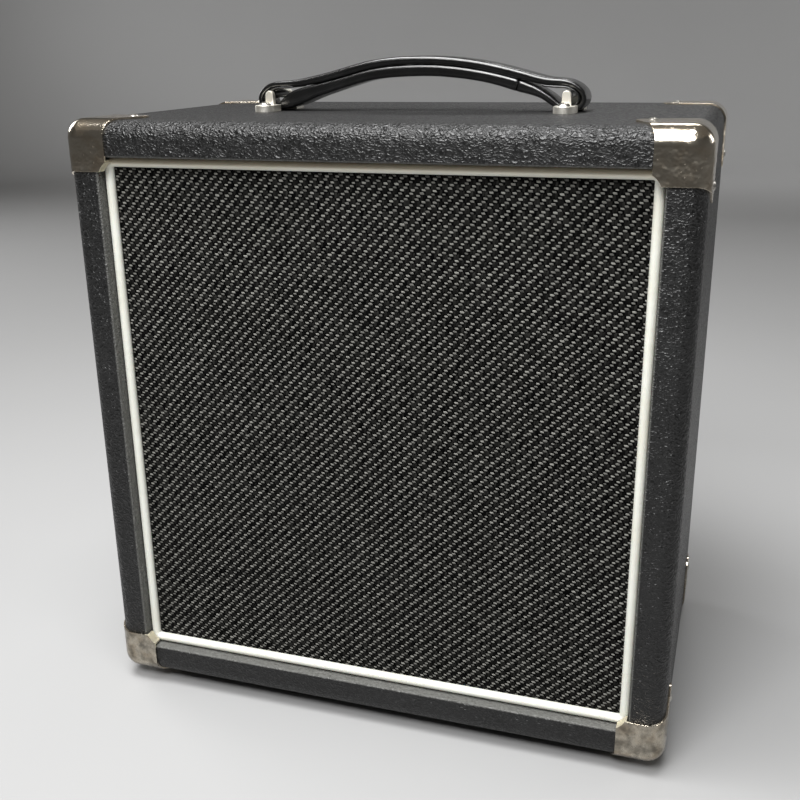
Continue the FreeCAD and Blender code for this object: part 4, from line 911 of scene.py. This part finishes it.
def backdrop():
    """Round floor turned from a profile that runs out flat, bends up on a quarter circle and ends
    in a wall."""
    bend = np.linspace(0, np.pi / 2, bend_steps)
    reach = np.concatenate([floor_reaches, floor_radius + wall_bend * np.sin(bend),
                            [floor_radius + wall_bend]])
    height = np.concatenate([[0.0, 0.0], wall_bend * (1 - np.cos(bend)), [wall_height]])
    turn = np.linspace(0, 2 * np.pi, floor_turns, endpoint=False)
    points = np.stack([np.outer(reach, np.cos(turn)), np.outer(reach, np.sin(turn)),
                       np.outer(height, np.ones(floor_turns))], -1)
    mesh = bpy.data.meshes.new("studio_floor")
    rings = grid_faces(len(reach), floor_turns, closed=True)[:, ::-1]
    mesh.from_pydata(points.reshape(-1, 3), [], [list(range(floor_turns))] + rings.tolist())
    mesh.polygons.foreach_set("use_smooth", np.ones(len(mesh.polygons), bool))
    paper = Finish("pale_paper", {"Roughness": 0.9, "Specular IOR Level": 0.1})
    paper.feed({"Base Color": paper.blend(paper.noise(paper_mottle), grey(0.36), grey(0.39))})
    mesh.materials.append(paper.material)
    floor = bpy.data.objects.new("studio_floor", mesh)
    bpy.context.scene.collection.objects.link(floor)


def soft_lamp(name, place, aim, size, power):
    """Area lamp of a given width and height, turned towards a point."""
    lamp = bpy.data.lights.new(name, "AREA")
    lamp.shape = "RECTANGLE"
    lamp.size, lamp.size_y = size
    lamp.energy = power
    holder = bpy.data.objects.new(name, lamp)
    holder.location = place
    holder.rotation_euler = (Vector(aim) - Vector(place)).to_track_quat("-Z", "Y").to_euler()
    bpy.context.scene.collection.objects.link(holder)


backdrop()
cabinet_middle = (0.0, 0.0, 0.22)
wall_foot = (0.0, 4.3, 0.3)
soft_lamp("overhead_lamp", (-0.2, -0.35, 1.6), cabinet_middle, size=(1.1, 0.6), power=35.0)
soft_lamp("front_lamp", (0.0, -1.1, 1.35), cabinet_middle, size=(0.9, 0.45), power=22.0)
soft_lamp("right_lamp", (2.2, 1.2, 1.2), cabinet_middle, size=(0.8, 0.8), power=7.0)
soft_lamp("left_lamp", (-2.4, 1.0, 1.2), cabinet_middle, size=(0.9, 0.9), power=18.0)
soft_lamp("back_lamp", (0.2, 1.9, 2.2), cabinet_middle, size=(0.8, 0.5), power=11.0)
soft_lamp("wall_lamp", (0.0, 2.9, 1.1), wall_foot, size=(5.0, 0.3), power=20.0)
room_tint = colour(1.0, 0.94, 0.86)
room_strength = 0.12
world = bpy.data.worlds.new("studio")
world.use_nodes = True
world.node_tree.nodes["Background"].inputs["Color"].default_value = room_tint
world.node_tree.nodes["Background"].inputs["Strength"].default_value = room_strength
bpy.context.scene.world = world

picture_width = 800
focal_pixels = 1023.2
camera_place = (0.21643, -0.69634, 0.45140)
camera_right = Vector((0.94967, 0.31299, -0.01317))
camera_down = Vector((0.08982, -0.31235, -0.94571))
camera_forward = Vector((-0.30011, 0.89693, -0.32474))
lens = bpy.data.cameras.new("photo_camera")
lens.sensor_width = 36.0
lens.lens = lens.sensor_width * focal_pixels / picture_width
lens.clip_start = 0.01
camera = bpy.data.objects.new("photo_camera", lens)
camera.matrix_world = Matrix.Translation(camera_place) @ Matrix(
    (camera_right, -camera_down, -camera_forward)).transposed().to_4x4()
bpy.context.scene.collection.objects.link(camera)
bpy.context.scene.camera = camera
bpy.context.scene.view_settings.view_transform = "Standard"
